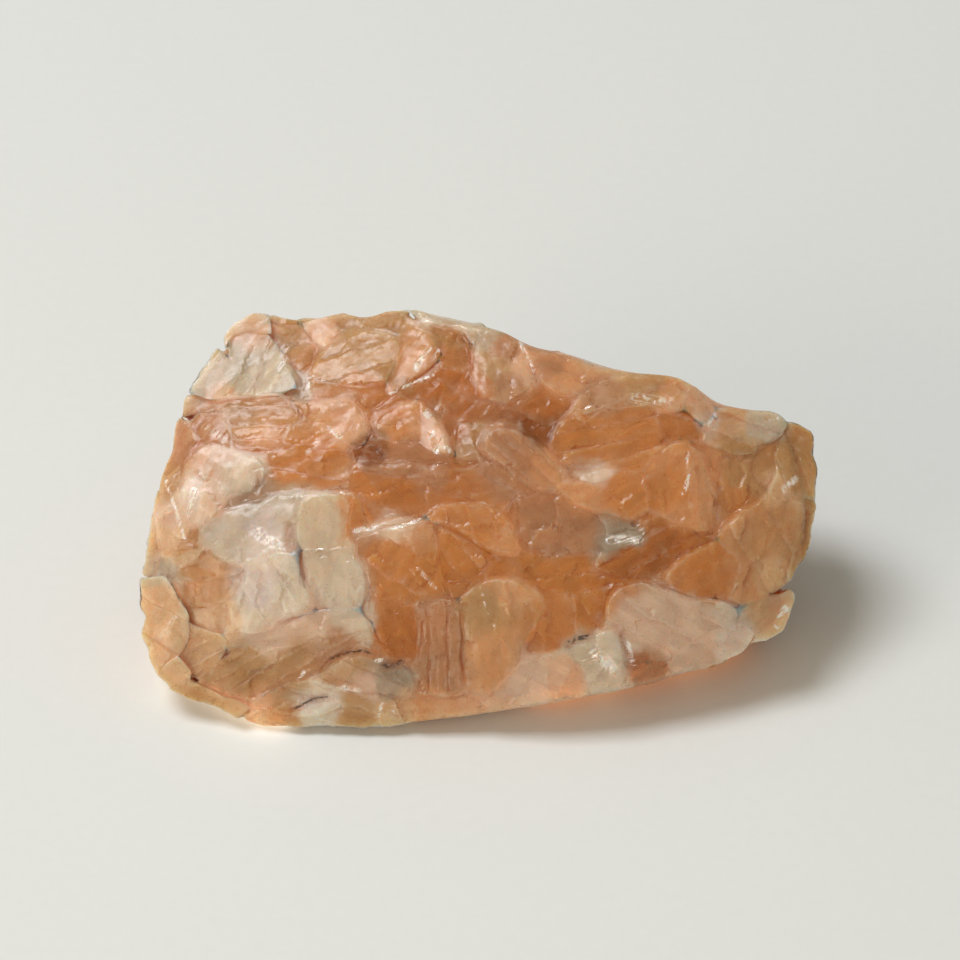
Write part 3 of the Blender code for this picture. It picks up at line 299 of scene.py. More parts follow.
DIRT = traces(
    (0.45, 0.9, (-20.6, -19.6), (-18.4, -18.7), (-16.4, -18.4), (-14.4, -19.0)),
    (0.7, 1.0, (-13.4, -20.6), (-12.0, -20.5), (-10.7, -19.9)),
    (0.4, 0.9, (-26.0, -26.8), (-24.5, -26.0), (-23.0, -25.2), (-21.3, -25.0)),
    (0.7, 1.0, (12.4, -17.0), (14.0, -16.6), (15.6, -16.3)), (0.3, 0.8, (8.5, -20.5), (10.4, -20.8)),
    (0.25, 0.6, (-2.6, -14.0), (-2.4, -18.0), (-2.2, -23.0)),
    (0.25, 0.6, (-8.0, -14.5), (-8.1, -17.0), (-8.6, -19.0)),
    (0.35, 0.8, (-2.8, 24.9), (-1.5, 24.8), (-1.4, 23.6)),
    (0.8, 0.7, (-15.4, 9.9), (-14.2, 9.3), (-13.4, 8.4)), (0.9, 0.6, (9.4, 12.2), (10.0, 10.8)),
    (0.3, 0.6, (20.6, -21.3), (22.0, -20.1), (23.1, -19.4)), (0.4, 1.0, (-4.8, -27.7)),
    (0.4, 1.0, (0.0, -26.3)), (0.35, 1.0, (1.9, -26.7)), (0.4, 0.9, (-9.0, -9.7)),
    (0.4, 0.9, (-14.0, -10.5)), (0.35, 0.9, (6.3, -10.9)), (0.35, 0.9, (7.1, -11.4)),
    (0.35, 0.9, (29.2, 6.8)), (0.5, 0.8, (43.5, -12.7)), (0.35, 0.8, (11.0, -2.5)),
    (0.5, 1.0, (12.2, -18.4)), (0.4, 0.9, (20.7, -24.0)), (0.4, 0.8, (-46.5, -8.0)),
    (0.4, 0.8, (-46.1, -17.8)),
)

# Splintered ridges: they polish the surface and tilt it so that it sparkles, and white glints are also
# painted into their colour.
FROST_AND_PAINTED_GLINTS = traces(
    # The ridges and steps, with painted highlights.
    (0.5, 1.0, (-17.8, -1.9), (-15.0, -1.4), (-13.5, -1.2)),
    (0.4, 1.0, (-12.2, -1.5), (-10.3, -1.0), (-8.5, -0.3)), (0.4, 1.0, (28.2, 3.3), (29.1, 5.8)),
    (0.3, 0.8, (28.6, 7.5), (29.0, 9.0)), (0.5, 0.8, (33.0, 14.5), (31.6, 12.5)),
    (0.5, 0.8, (-21.2, 12.4), (-19.3, 11.1)), (0.6, 0.6, (5.5, 25.0), (7.5, 20.5)),
    (0.3, 0.6, (0.0, -9.5), (1.0, -13.0), (2.0, -15.0)), (0.4, 0.7, (-24.8, 19.8), (-21.8, 19.1)),
    (0.35, 0.8, (-12.5, 17.2), (-9.0, 19.0), (-6.5, 19.9)),
    (0.7, 0.9, (-9.0, 20.8), (-8.4, 22.0), (-7.2, 23.6)), (0.4, 0.8, (-6.2, 22.6), (-5.8, 23.4)),
    (0.7, 1.0, (-7.8, 15.0), (-7.2, 14.2)), (0.8, 1.0, (-6.7, 11.6), (-6.0, 9.3)),
    (0.5, 0.8, (-4.8, 9.8), (-4.2, 9.2)), (0.5, 0.8, (-25.0, 17.6), (-23.8, 18.6)),
    (1.0, 0.7, (-28.0, 20.8), (-27.4, 23.8)), (0.4, 0.5, (-36.0, 24.5), (-35.0, 22.2)),
    (0.5, 0.7, (-44.0, 5.0), (-42.4, 0.8), (-41.2, -3.0)), (0.8, 0.8, (-40.6, 0.4), (-39.8, 3.8)),
    (0.9, 0.5, (-24.0, 9.0), (-22.6, 10.6)), (0.7, 0.6, (-8.6, -7.0), (-6.2, -9.8)),
    (0.4, 0.8, (-25.2, -22.5), (-24.4, -21.4)), (0.35, 1.0, (-14.5, -19.9), (-13.2, -19.6)),
    (0.4, 0.7, (-14.2, -28.0), (-13.6, -25.8)), (0.35, 0.7, (-12.2, -27.6), (-11.8, -26.0)),
    (0.6, 0.8, (20.4, -17.4), (21.2, -20.6)), (0.8, 0.9, (41.4, -15.0), (42.6, -12.8)),
    # Painted pale highlights along the edges where one crystal ends over the next.
    (0.35, 0.5, (-35.5, 1.1), (-30.0, 2.2), (-25.8, 2.9), (-17.5, 3.3)),
    (0.3, 0.45, (-43.0, 14.5), (-35.0, 15.6), (-25.8, 16.0)),
    (0.3, 0.45, (-24.6, 19.0), (-19.0, 18.6), (-13.1, 19.7)),
    (0.35, 0.45, (17.5, -9.4), (24.3, -8.6), (29.5, -10.9), (36.6, -12.4)),
    (0.3, 0.4, (-2.0, 11.6), (2.0, 12.4), (5.0, 9.6)), (0.3, 0.45, (-3.0, 2.0), (0.5, 2.2), (2.6, -0.6)),
    # The splintered stretches, with painted sparkle.
    (1.6, 0.55, (21.4, 16.6), (26.6, 16.2)), (1.7, 0.6, (-31.0, -2.2), (-27.6, -4.2)),
    (1.5, 0.5, (-38.4, 12.6), (-36.0, 11.0)), (1.2, 0.7, (18.0, -3.0), (22.0, -3.2)),
    (1.7, 0.7, (16.0, -18.6), (18.4, -21.2)), (1.1, 0.6, (42.4, 3.8), (44.2, 5.4)),
    (1.2, 0.4, (38.8, 12.8), (42.2, 11.2)), (1.5, 0.45, (-42.4, -14.0), (-44.2, -16.6)),
    (1.2, 0.35, (31.0, -17.6), (36.6, -16.4)), (0.9, 0.6, (-19.6, -23.6), (-16.8, -24.0)),
)


@dataclass(frozen=True)
class CleavedCells:
    """A field of small flat facets: every cell leans its own way and stands at its own height.

    Args:
        stir: What a cell's two numbers, its crystal's and the draw's are multiplied by to mix them.
        stir_gain: How strongly the mixed number is stretched, so that its last digits look random.
        margin: The least distance from a cell's border to its middle, in cells.
        play: How far a cell's middle may wander, in cells.
        step: The height between the lowest and the highest cell, in cells.
        outer: A squared distance that no nearest cell has.
    """

    stir: tuple[float, float, float, float] = (127.1, 311.7, 74.7, 19.19)
    stir_gain: float = 43758.5453
    margin: float = 0.15
    play: float = 0.7
    step: float = 0.12
    outer: float = 9.0

    def heights(self, along: np.ndarray, across: np.ndarray, salt: np.ndarray) -> np.ndarray:
        """Finds how high the field stands.

        Args:
            along: Place along the grain, in cells.
            across: Place across the grain, in cells.
            salt: A number that makes one crystal's cells differ from the next one's.

        Returns:
            The height in cells.
        """
        nearest = np.full(along.shape, self.outer)
        height = np.zeros(along.shape)
        for step_a in (-1, 0, 1):
            for step_b in (-1, 0, 1):
                cell_a = np.floor(along) + step_a
                cell_b = np.floor(across) + step_b
                rand = [self._draw(cell_a, cell_b, salt, turn) for turn in range(5)]
                from_a = along - (cell_a + self.margin + self.play * rand[0])
                from_b = across - (cell_b + self.margin + self.play * rand[1])
                far = from_a**2 + from_b**2
                lean = (rand[2] - 0.5) * from_a + (rand[3] - 0.5) * from_b + self.step * (rand[4] - 0.5)
                height = np.where(far < nearest, lean, height)
                nearest = np.minimum(far, nearest)
        return height

    def _draw(self, cell_a: np.ndarray, cell_b: np.ndarray, salt: np.ndarray, turn: int) -> np.ndarray:
        """Draws one number of 0 to 1 for each cell, the same each time."""
        mixed = sum(number * share for number, share in zip((cell_a, cell_b, salt, turn), self.stir))
        return np.mod(np.sin(mixed) * self.stir_gain, 1.0)


@dataclass(frozen=True)
class Warp:
    """A smooth field that shifts places about.

    Args:
        length: The size of its swells, in millimetres.
        reach: How far it shifts, in millimetres.
        start: Where in the endless field it begins.
    """

    length: float
    reach: float = 1.0
    start: tuple[float, float, float] = (0.0, 0.0, 0.0)

    def at(self, spot: Vector) -> Vector:
        """The shift at a spot."""
        return noise.noise_vector(spot / self.length + Vector(self.start)) * self.reach


class Border(IntEnum):
    """What an edge of the mesh lies on."""

    FLAT = 1
    RIDGE = 2
    CREASE = 3


def soften(bm: bmesh.types.BMesh, verts: list[bmesh.types.BMVert], rounds: int) -> None:
    """Draws some points halfway towards the middle of their neighbours.

    Args:
        bm: The mesh.
        verts: The points that move.
        rounds: How often they do.
    """
    for _ in range(rounds):
        bmesh.ops.smooth_vert(bm, verts=verts, factor=0.5, use_axis_x=True, use_axis_y=True, use_axis_z=True)


def write_layer(
    mesh: bpy.types.Mesh, name: str, kind: str, domain: str, key: str, values: np.ndarray
) -> None:
    """Writes one attribute of a mesh.

    Args:
        mesh: The mesh.
        name: The attribute's name.
        kind: Its type.
        domain: What carries it.
        key: What one value of that type is called.
        values: The values, a row each.
    """
    layer = mesh.attributes.new(name, kind, domain)
    layer.data.foreach_set(key, values.astype(np.float32).ravel())


def held(value: float) -> float:
    """The value held to 0 to 1."""
    return min(1.0, max(0.0, value))


@dataclass
class CrystalMass:
    """The one piece of the specimen: broken crystals grown together.

    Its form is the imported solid's own; this class settles its crystals together, breaks up the flat
    faces into smaller cleaved ones, wears the edges, and gives every crystal its colour. Lengths are
    in millimetres, and a facing is the cosine of the angle to the way the show face looks.
    """

    name: str = "aragonite_mass"
    node: str = "crystal_mass"
    slot: str = "crystal"

    # How the solid is joined up and split, and what counts as an edge.
    weld: float = 0.001
    flat_angle: float = math.radians(0.6)
    sharp_angle: float = math.radians(32.0)
    crisp_angle: float = math.radians(20.0)
    coarse_edge: float = 1.5
    longest_edge: float = 0.76
    back_coarseness: float = 2.0
    shown_facing: float = 0.1
    split_rounds: int = 6

    # The rounded show face, as a dome over u and v.
    dome_half_width: float = 49.0
    dome_half_height: float = 31.5
    dome_rim: float = 2.5
    dome_slope: float = -0.19
    dome_bulge: float = 10.5
    dome_flat: float = 0.12

    # How heights above and below the dome are lessened, and how the lower left toe is lowered.
    still_height: float = 0.4
    settled_share: float = 0.17
    filled_share: float = 0.09
    settled_depth: float = 4.0
    settled_reach: float = 10.0
    toe_top: float = -16.0
    toe_height: float = 9.0
    toe_right: float = 14.0
    toe_width: float = 16.0
    toe_drop: float = 1.5
    rest_height: float = 0.3

    # How creases heal, and how folds and grooves close.
    heal_width: int = 3
    heal_rounds: int = 3
    wear_rounds: int = 1
    fold_passes: int = 4
    last_passes: int = 2
    seam_rounds: int = 14
    groove_rounds: int = 12
    steep_side: float = 0.5
    ray_ahead: float = 0.03
    ray_aside: float = 0.02
    ray_length: float = 15.0
    foot_height: float = 0.5
    inside_share: float = 0.85
    pit_share: float = 0.5
    pit_depth: float = 13.0
    fold_depth: float = 6.0

    # The small cleaved faces, and the worn and chipped edges.
    noise_seed: int = 7
    cells: CleavedCells = CleavedCells()
    cell_size: float = 3.2
    cell_least: float = 0.6
    cell_play: float = 0.9
    cell_stretch: float = 1.7
    cell_relief: float = 0.21
    cell_kinds: float = 17.0
    small_cells: float = 3.1
    small_salt: float = 5.0
    small_relief: float = 0.22
    wall_facing: float = 0.45
    wall_relief: float = 0.25
    edge_fade: float = 1.6
    edge_share: float = 0.75
    swell: Warp = Warp(4.2, 0.2)
    ripple: Warp = Warp(1.1, 0.02, (9.1, 4.7, 2.3))
    wander: Warp = Warp(2.3, 0.28, (1.7, 6.2, 5.9))
    wear_reach: float = 0.45
    chip_depth: float = 0.28
    chip_length: float = 1.7
    chip_start: tuple[float, float, float] = (3.3, 8.8, 1.1)
    rest_depth: float = 0.02

    # How much of the view from a point its neighbours close in, which paints shade into the hollows.
    hollow_reach: float = 9.0
    hollow_lift: float = 0.15
    hollow_rays: int = 14
    hollow_blur: int = 4

    # Which facets belong to the show face, and how its colours lie.
    back_facing: float = -0.75
    skin_depth: float = 6.5
    chance_start: float = 0.37
    hidden_lean: float = 0.3
    least_run: float = 1e-3
    patch_blend: float = 0.78
    patch_core: float = 0.8
    patch_falloff: float = 3.6
    drift: Warp = Warp(5.0)
    small_drift: Warp = Warp(1.5)
    drift_reach: float = 1.5
    small_drift_share: float = 0.4
    jitter_least: float = 0.96
    jitter_play: float = 0.08
    trace_spread: float = 0.8
    least_span: float = 1e-9

    # How far the facets' own planes and the dome turn the light that they throw back.
    plane_share: float = 0.34
    wall_share: float = 2.0
    plane_facing: float = 0.4
    plane_range: float = 0.35

    facets: dict[str, np.ndarray] = field(default_factory=dict)

    def build(self) -> bpy.types.Object:
        """Makes the detailed mesh.

        Returns:
            The finished object, not yet dressed.
        """
        noise.seed_set(self.noise_seed)
        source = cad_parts[self.node]
        bm = bmesh.new()
        bm.from_mesh(source.data)
        bmesh.ops.remove_doubles(bm, verts=bm.verts, dist=self.weld * MM)
        bmesh.ops.dissolve_limit(bm, angle_limit=self.flat_angle, verts=bm.verts, edges=bm.edges)
        tree = BVHTree.FromBMesh(bm)
        self._number_facets(bm)
        self._choose_finishes()
        bmesh.ops.triangulate(bm, faces=bm.faces)
        self._split(bm, self.coarse_edge)
        self._measure_hollows(bm, tree)
        self._split(bm, self.longest_edge)
        LOG.info("%s: %d faces after splitting", self.name, len(bm.faces))
        self._settle(bm)
        self._heal_creases(bm)
        self._break_up(bm)
        for _ in range(self.last_passes):
            self._close_folds(bm)
        mesh = bpy.data.meshes.new(self.name)
        bm.to_mesh(mesh)
        bm.free()
        if "custom_normal" in mesh.attributes:
            mesh.attributes.remove(mesh.attributes["custom_normal"])
        mesh.shade_smooth()
        mesh.set_sharp_from_angle(angle=self.crisp_angle)
        piece = bpy.data.objects.new(self.name, mesh)
        bpy.context.scene.collection.objects.link(piece)
        return piece

    def dress(self, piece: bpy.types.Object) -> None:
        """Gives the finished object its attributes and its material."""
        self._paint(piece.data)
        piece.data.materials.append(CrystalFinish().make())

    def _number_facets(self, bm: bmesh.types.BMesh) -> None:
        """Numbers the flat faces, marks their borders and notes where each one lies.

        Args:
            bm: The solid, with its coplanar triangles joined.
        """
        facet = bm.faces.layers.int.new("facet")
        border = bm.edges.layers.int.new("border")
        centres, normals = [], []
        bm.normal_update()
        for index, face in enumerate(bm.faces):
            face[facet] = index
            centres.append(face.calc_center_median_weighted()[:])
            normals.append(face.normal[:])
        for edge in bm.edges:
            angle = edge.calc_face_angle_signed(0.0)
            edge[border] = Border.FLAT
            if abs(angle) > self.sharp_angle:
                edge[border] = Border.RIDGE if angle > 0.0 else Border.CREASE
                edge.smooth = False
        self.facets = {"centre": np.array(centres) / MM, "normal": np.array(normals)}

    def _split(self, bm: bmesh.types.BMesh, longest: float) -> None:
        """Splits long edges and turns the ones inside a flat face, so that the triangles stay even.

        Args:
            bm: The mesh, in triangles.
            longest: The longest edge on the show face.
        """
        facet = bm.faces.layers.int["facet"]
        middle = FACE_CENTRE * MM
        front, back = longest * MM, self.back_coarseness * longest * MM
        for _ in range(self.split_rounds):
            bm.normal_update()
            edges = []
            for edge in bm.edges:
                length = edge.calc_length()
                if length <= front:
                    continue
                normal = edge.link_faces[0].normal + edge.link_faces[-1].normal
                ahead = (edge.verts[0].co - middle).dot(FACE_OUT) > 0.0
                shown = ahead and normal.dot(FACE_OUT) > self.shown_facing
                if shown or length > back:
                    edges.append(edge)
            if not edges:
                return
            bmesh.ops.subdivide_edges(bm, edges=edges, cuts=1, use_grid_fill=True)
            many = [f for f in bm.faces if len(f.verts) > 3]
            bmesh.ops.triangulate(bm, faces=many, quad_method="SHORT_EDGE", ngon_method="BEAUTY")
            inner = [e for e in bm.edges if len({f[facet] for f in e.link_faces}) == 1 and e.is_manifold]
            bmesh.ops.beautify_fill(bm, faces=bm.faces, edges=inner, method="ANGLE")

    def _measure_hollows(self, bm: bmesh.types.BMesh, tree: BVHTree) -> None:
        """Notes at every point how much of its view is closed in by its neighbours, which paints shade into
        the hollows.

        Args:
            bm: The mesh at its coarse split.
            tree: The plain solid.
        """
        layer = bm.verts.layers.float.new("hollow_shade")
        golden = math.pi * (3.0 - math.sqrt(5.0))
        ways = []
        for index in range(self.hollow_rays):
            rise = (index + 0.5) / self.hollow_rays
            reach = math.sqrt(1.0 - rise * rise)
            ways.append(Vector((math.cos(golden * index) * reach, math.sin(golden * index) * reach, rise)))
        bm.normal_update()
        for vert in bm.verts:
            turn = vert.normal.to_track_quat("Z", "X")
            start = vert.co + vert.normal * self.hollow_lift * MM
            closed = 0.0
            for way in ways:
                _, _, _, far = tree.ray_cast(start, turn @ way, self.hollow_reach * MM)
                if far is not None:
                    closed += 1.0 - far / (self.hollow_reach * MM)
            vert[layer] = closed / self.hollow_rays
        for _ in range(self.hollow_blur):
            soft = [sum(e.other_vert(v)[layer] for e in v.link_edges) / len(v.link_edges) for v in bm.verts]
            for vert, value in zip(bm.verts, soft):
                vert[layer] = 0.5 * (vert[layer] + value)

    def _settle(self, bm: bmesh.types.BMesh) -> None:
        """Settles the crystals of the show face into one another, so that they stand less proud.

        Args:
            bm: The mesh at its fine split.
        """
        for vert in bm.verts:
            if vert.co.z < self.still_height * MM:
                continue
            u, v, w = seen_at(vert.co)
            rise = w - self._dome(u, v)
            end = self._settled(u, v, rise)
            if end is None:
                continue
            vert.co += FACE_OUT * ((end - rise) * MM)
            sink = held((self.toe_top - v) / self.toe_height) * held((self.toe_right - u) / self.toe_width)
            drop = sink * min(self.toe_drop, max(0.0, vert.co.z / MM - self.rest_height))
            vert.co -= FACE_OUT * (drop / FACE_OUT.z * MM)

    def _settled(self, u: float, v: float, rise: float) -> float | None:
        """Finds how high a point of the show face stands when it has settled.

        Args:
            u: Millimetres to the right.
            v: Millimetres up the face.
            rise: How far it stands out of the dome, less than 0 below it.

        Returns:
            How far it stands out at the end, or None where it lies too deep to move.
        """
        floor = -self.settled_depth * self.filled_share
        if rise > 0.0:
            return rise * self.settled_share
        if rise > -self.settled_depth:
            return rise * self.filled_share
        if rise > -self.pit_depth and self._apart(u, v) < self.pit_share:
            return floor
        if rise > -self.settled_reach:
            share = (-rise - self.settled_depth) / (self.settled_reach - self.settled_depth)
            return floor * (1.0 - share) - self.settled_reach * share
        return None

    def _heal_creases(self, bm: bmesh.types.BMesh) -> None:
        """Rounds the inner corners, where crystals have grown together.

        Args:
            bm: The mesh at its fine split.
        """
        border = bm.edges.layers.int["border"]
        creases = [e for e in bm.edges if e[border] == Border.CREASE]
        for edge in creases:
            edge.smooth = True
        level = {v for e in creases for v in e.verts}
        keep = {v for e in bm.edges if e[border] == Border.RIDGE for v in e.verts}
        for _ in range(self.heal_width):
            level |= {e.other_vert(v) for v in level for e in v.link_edges}
        soften(bm, [v for v in self._raised(bm) if v in level and v not in keep], self.heal_rounds)
        for _ in range(self.fold_passes):
            self._close_folds(bm)
            self._fill_grooves(bm)
        soften(bm, self._raised(bm), self.wear_rounds)

    def _raised(self, bm: bmesh.types.BMesh) -> list[bmesh.types.BMVert]:
        """The points that stand clear of the table."""
        return [v for v in bm.verts if v.co.z > self.rest_height * MM]

    def _close_folds(self, bm: bmesh.types.BMesh) -> None:
        """Draws the skin straight across the narrow folds under overlapping crystals.

        Args:
            bm: The mesh at its fine split.
        """
        bm.normal_update()
        tree = BVHTree.FromBMesh(bm)
        folded = set()
        for vert in bm.verts:
            if not self._well_inside(vert.co):
                continue
            start = vert.co + (FACE_OUT * self.ray_ahead + vert.normal * self.ray_aside) * MM
            steep = vert.normal.dot(FACE_OUT) < self.steep_side
            if steep or tree.ray_cast(start, FACE_OUT, self.ray_length * MM)[3] is not None:
                folded.add(vert)
        around = folded | {e.other_vert(v) for v in folded for e in v.link_edges}
        soften(bm, [v for v in bm.verts if v in around], self.seam_rounds)

    def _fill_grooves(self, bm: bmesh.types.BMesh) -> None:
        """Fills the narrow grooves of the show face, where crystals have grown together.

        Args:
            bm: The mesh at its fine split.
        """
        bm.verts.index_update()
        ends = np.array([(e.verts[0].index, e.verts[1].index) for e in bm.edges])
        height = np.array([v.co.dot(FACE_OUT) for v in bm.verts])
        inside = np.array([self._well_inside(v.co) for v in bm.verts])
        total = len(height)
        count = np.bincount(ends.ravel(), minlength=total)
        soft = height.copy()
        for _ in range(self.groove_rounds):
            near = np.bincount(ends[:, 0], weights=soft[ends[:, 1]], minlength=total)
            near += np.bincount(ends[:, 1], weights=soft[ends[:, 0]], minlength=total)
            soft = 0.5 * (soft + near / count)
        lift = np.where(inside, np.maximum(soft - height, 0.0), 0.0)
        for vert, rise in zip(bm.verts, lift):
            vert.co += FACE_OUT * float(rise)

    def _well_inside(self, place: Vector) -> bool:
        """Tells whether a point lies in the skin of the show face, away from its outline.

        Args:
            place: The point, in metres.

        Returns:
            True when it does.
        """
        u, v, w = seen_at(place)
        apart = self._apart(u, v)
        reach = self.pit_depth if apart < self.pit_share else self.fold_depth
        return apart < self.inside_share and place.z > self.foot_height * MM and w - self._dome(u, v) > -reach

    def _measure_wear(self, bm: bmesh.types.BMesh) -> tuple[np.ndarray, np.ndarray, np.ndarray]:
        """Finds what each point lies on and how near it is to an edge.

        Args:
            bm: The mesh at its fine split.

        Returns:
            The facet, the distance to the nearest edge and the wear, 0 to 1, per point.
        """
        facet = bm.faces.layers.int["facet"]
        border = bm.edges.layers.int["border"]
        rims = {}
        for vert in bm.verts:
            kinds = [e[border] for e in vert.link_edges]
            if max(kinds) > Border.FLAT:
                rims[vert] = 1.0 if Border.RIDGE in kinds else 0.0
        tree = KDTree(len(rims))
        for vert in rims:
            tree.insert(vert.co, vert.index)
        tree.balance()
        exposed = {vert.index: share for vert, share in rims.items()}
        owner = np.array([v.link_faces[0][facet] for v in bm.verts])
        nearest = [tree.find(v.co)[1:] for v in bm.verts]
        distance = np.array([far / MM for _, far in nearest])
        wear_and_highlight = np.array([exposed[index] * math.exp(-far / MM / self.wear_reach) for index, far in nearest])
        return owner, distance, wear_and_highlight

    def _break_up(self, bm: bmesh.types.BMesh) -> None:
        """Breaks the flat faces into smaller cleaved ones and wears the edges.

        Args:
            bm: The mesh at its fine split.
        """
        bm.normal_update()
        layer = bm.verts.layers.float.new("wear_and_highlight")
        owner, distance, wear_and_highlight = self._measure_wear(bm)
        place = np.array([v.co[:] for v in bm.verts]) / MM
        normal = self.facets["normal"][owner]
        salt = scattered(owner, GOLDEN_STEP) * self.cell_kinds
        size = self.cell_size * (self.cell_least + self.cell_play * scattered(owner, PLASTIC_STEP))
        along = np.einsum("ij,ij->i", place, self.facets["along"][owner]) / (size * self.cell_stretch)
        across = np.einsum("ij,ij->i", place, self.facets["across"][owner]) / size
        height = self.cells.heights(along, across, salt)
        more = self.small_cells
        small = self.cells.heights(along * more, across * more, salt + self.small_salt)
        relief = (height + self.small_relief * small) * size * self.cell_relief
        fade = self.edge_share + (1.0 - self.edge_share) * np.clip(distance / self.edge_fade, 0.0, 1.0)
        wall = self.facets["front"][owner] & (normal @ OUT < self.wall_facing)
        normal = np.where(wall[:, None], OUT[None, :], normal)
        relief = np.where(wall, self.wall_relief * relief, relief)
        moved = place + normal * (relief * fade)[:, None]
        for index, vert in enumerate(bm.verts):
            spot = Vector(place[index])
            side = self.wander.at(spot)
            shift = self.ripple.at(spot) + (side - FACE_OUT * side.dot(FACE_OUT))
            chip = 0.5 + 0.5 * noise.noise(spot / self.chip_length + Vector(self.chip_start))
            pull = vert.normal * (self.chip_depth * chip * chip * wear_and_highlight[index])
            end = Vector(moved[index]) + self.swell.at(spot) + shift - pull
            end.z = 0.0 if spot.z < self.rest_depth else max(end.z, 0.0)
            vert.co = end * MM
            vert[layer] = wear_and_highlight[index]

    def _choose_finishes(self) -> None:
        """Gives every facet its finish and its grain."""
        normal = self.facets["normal"]
        u, v, w = all_seen_at(self.facets["centre"])
        spots = np.array([(p.u, p.v, p.grain) for p in PATCHES])
        nearest = np.hypot(u[:, None] - spots[None, :, 0], v[:, None] - spots[None, :, 1]).argmin(axis=1)
        rise = w - np.array([self._dome(x, y) for x, y in zip(u, v)])
        front = (normal @ OUT > self.back_facing) & (rise > -self.skin_depth)
        chance = scattered(np.arange(len(u)), GOLDEN_STEP, self.chance_start)
        pick = (chance * len(HIDDEN_FINISHES)).astype(int)
        shown = finish_values([p.finish for p in PATCHES])
        heading = np.radians(np.where(front, spots[nearest, 2], chance * 180.0))
        sideways, upwards = np.cos(heading), np.sin(heading)
        on_front = sideways[:, None] * RIGHT[None, :] + upwards[:, None] * UP[None, :]
        elsewhere = np.stack([sideways, self.hidden_lean * upwards, upwards], 1)
        way = np.where(front[:, None], on_front, elsewhere)
        along = way - normal * np.einsum("ij,ij->i", way, normal)[:, None]
        length = np.linalg.norm(along, axis=1, keepdims=True)
        along = np.where(length > self.least_run, along / np.maximum(length, self.least_run), RIGHT[None, :])
        self.facets |= {
            "front": front,
            "tint": np.where(front[:, None], shown[nearest], finish_values(HIDDEN_FINISHES)[pick]),
            "along": along,
            "across": np.cross(normal, along),
        }

    def _paint(self, mesh: bpy.types.Mesh) -> None:
        """Writes the colours, the grain, the planes, the dirt and the frosted ridges, which also carry
        painted glints, as attributes.

        Args:
            mesh: The finished mesh.
        """
        owner = np.zeros(len(mesh.polygons), dtype=np.int32)
        mesh.attributes["facet"].data.foreach_get("value", owner)
        loops = np.repeat(owner, 3)
        vertex = np.zeros(len(mesh.loops), dtype=np.int32)
        mesh.loops.foreach_get("vertex_index", vertex)
        place = np.zeros(len(mesh.vertices) * 3)
        mesh.vertices.foreach_get("co", place)
        place = place.reshape(-1, 3) / MM
        u, v, w = all_seen_at(place)
        drift = np.array([self.drift.at(Vector(p))[:] for p in place])
        small = np.array([self.small_drift.at(Vector(p))[:] for p in place])
        drift = self.drift_reach * (drift + self.small_drift_share * small)
        soft = self._soft_tints(u + drift[:, 0], v + drift[:, 1])
        blend = self.facets["front"][loops][:, None] * self.patch_blend
        tint = self.facets["tint"][loops] * (1.0 - blend) + soft[vertex] * blend
        tint[:, :3] *= (self.jitter_least + self.jitter_play * scattered(loops, CUBIC_STEP))[:, None]
        write_layer(mesh, "tint", "FLOAT_COLOR", "CORNER", "color", tint)
        write_layer(mesh, "across", "FLOAT_VECTOR", "CORNER", "vector", self.facets["across"][loops])
        write_layer(mesh, "lean", "FLOAT_VECTOR", "CORNER", "vector", self._planes()[loops])
        for name, marks in (("grime", DIRT), ("frost_and_painted_glint", FROST_AND_PAINTED_GLINTS)):
            write_layer(mesh, name, "FLOAT", "POINT", "value", self._traced(marks, u, v, w))

    def _planes(self) -> np.ndarray:
        """Finds how each facet's plane, or the dome where it is steep, turns the light.

        Returns:
            What is added to the normal, a row per facet.
        """
        normal = self.facets["normal"]
        facing = np.clip((normal @ OUT - self.plane_facing) / self.plane_range, 0.0, 1.0)[:, None]
        planes = normal * self.plane_share * facing + self._dome_normals() * self.wall_share * (1.0 - facing)
        return planes * self.facets["front"][:, None]

    def _apart(self, u: float, v: float) -> float:
        """How far a place lies from the middle of the show face: 0 there and 1 at the dome's rim."""
        return (u / self.dome_half_width) ** 2 + (v / self.dome_half_height) ** 2

    def _dome(self, u: float, v: float) -> float:
        """How far the rounded show face stands out at a place, in millimetres."""
        round_off = math.sqrt(max(self.dome_flat, 1.0 - self._apart(u, v)))
        return self.dome_rim + self.dome_slope * v + self.dome_bulge * round_off

    def _dome_normals(self) -> np.ndarray:
        """Finds the way the dome looks at every facet.

        Returns:
            A unit vector per facet.
        """
        u_all, v_all, _ = all_seen_at(self.facets["centre"])
        rows = []
        for u, v in zip(u_all, v_all):
            here = self._dome(u, v)
            rise_u, rise_v = self._dome(u + 1.0, v) - here, self._dome(u, v + 1.0) - here
            rows.append((FACE_OUT - FACE_RIGHT * rise_u - FACE_UP * rise_v).normalized()[:])
        return np.array(rows)

    def _soft_tints(self, u: np.ndarray, v: np.ndarray) -> np.ndarray:
        """Blends the patches' colours smoothly over the show face.

        Args:
            u: Millimetres to the right, per point.
            v: Millimetres up the face, per point.

        Returns:
            The colour and the milk, a row per point.
        """
        total = np.zeros(len(u))
        tint = np.zeros((len(u), 4))
        for patch, own in zip(PATCHES, finish_values([p.finish for p in PATCHES])):
            weight = 1.0 / (self.patch_core + (u - patch.u) ** 2 + (v - patch.v) ** 2) ** self.patch_falloff
            total += weight
            tint += weight[:, None] * own
        return tint / total[:, None]

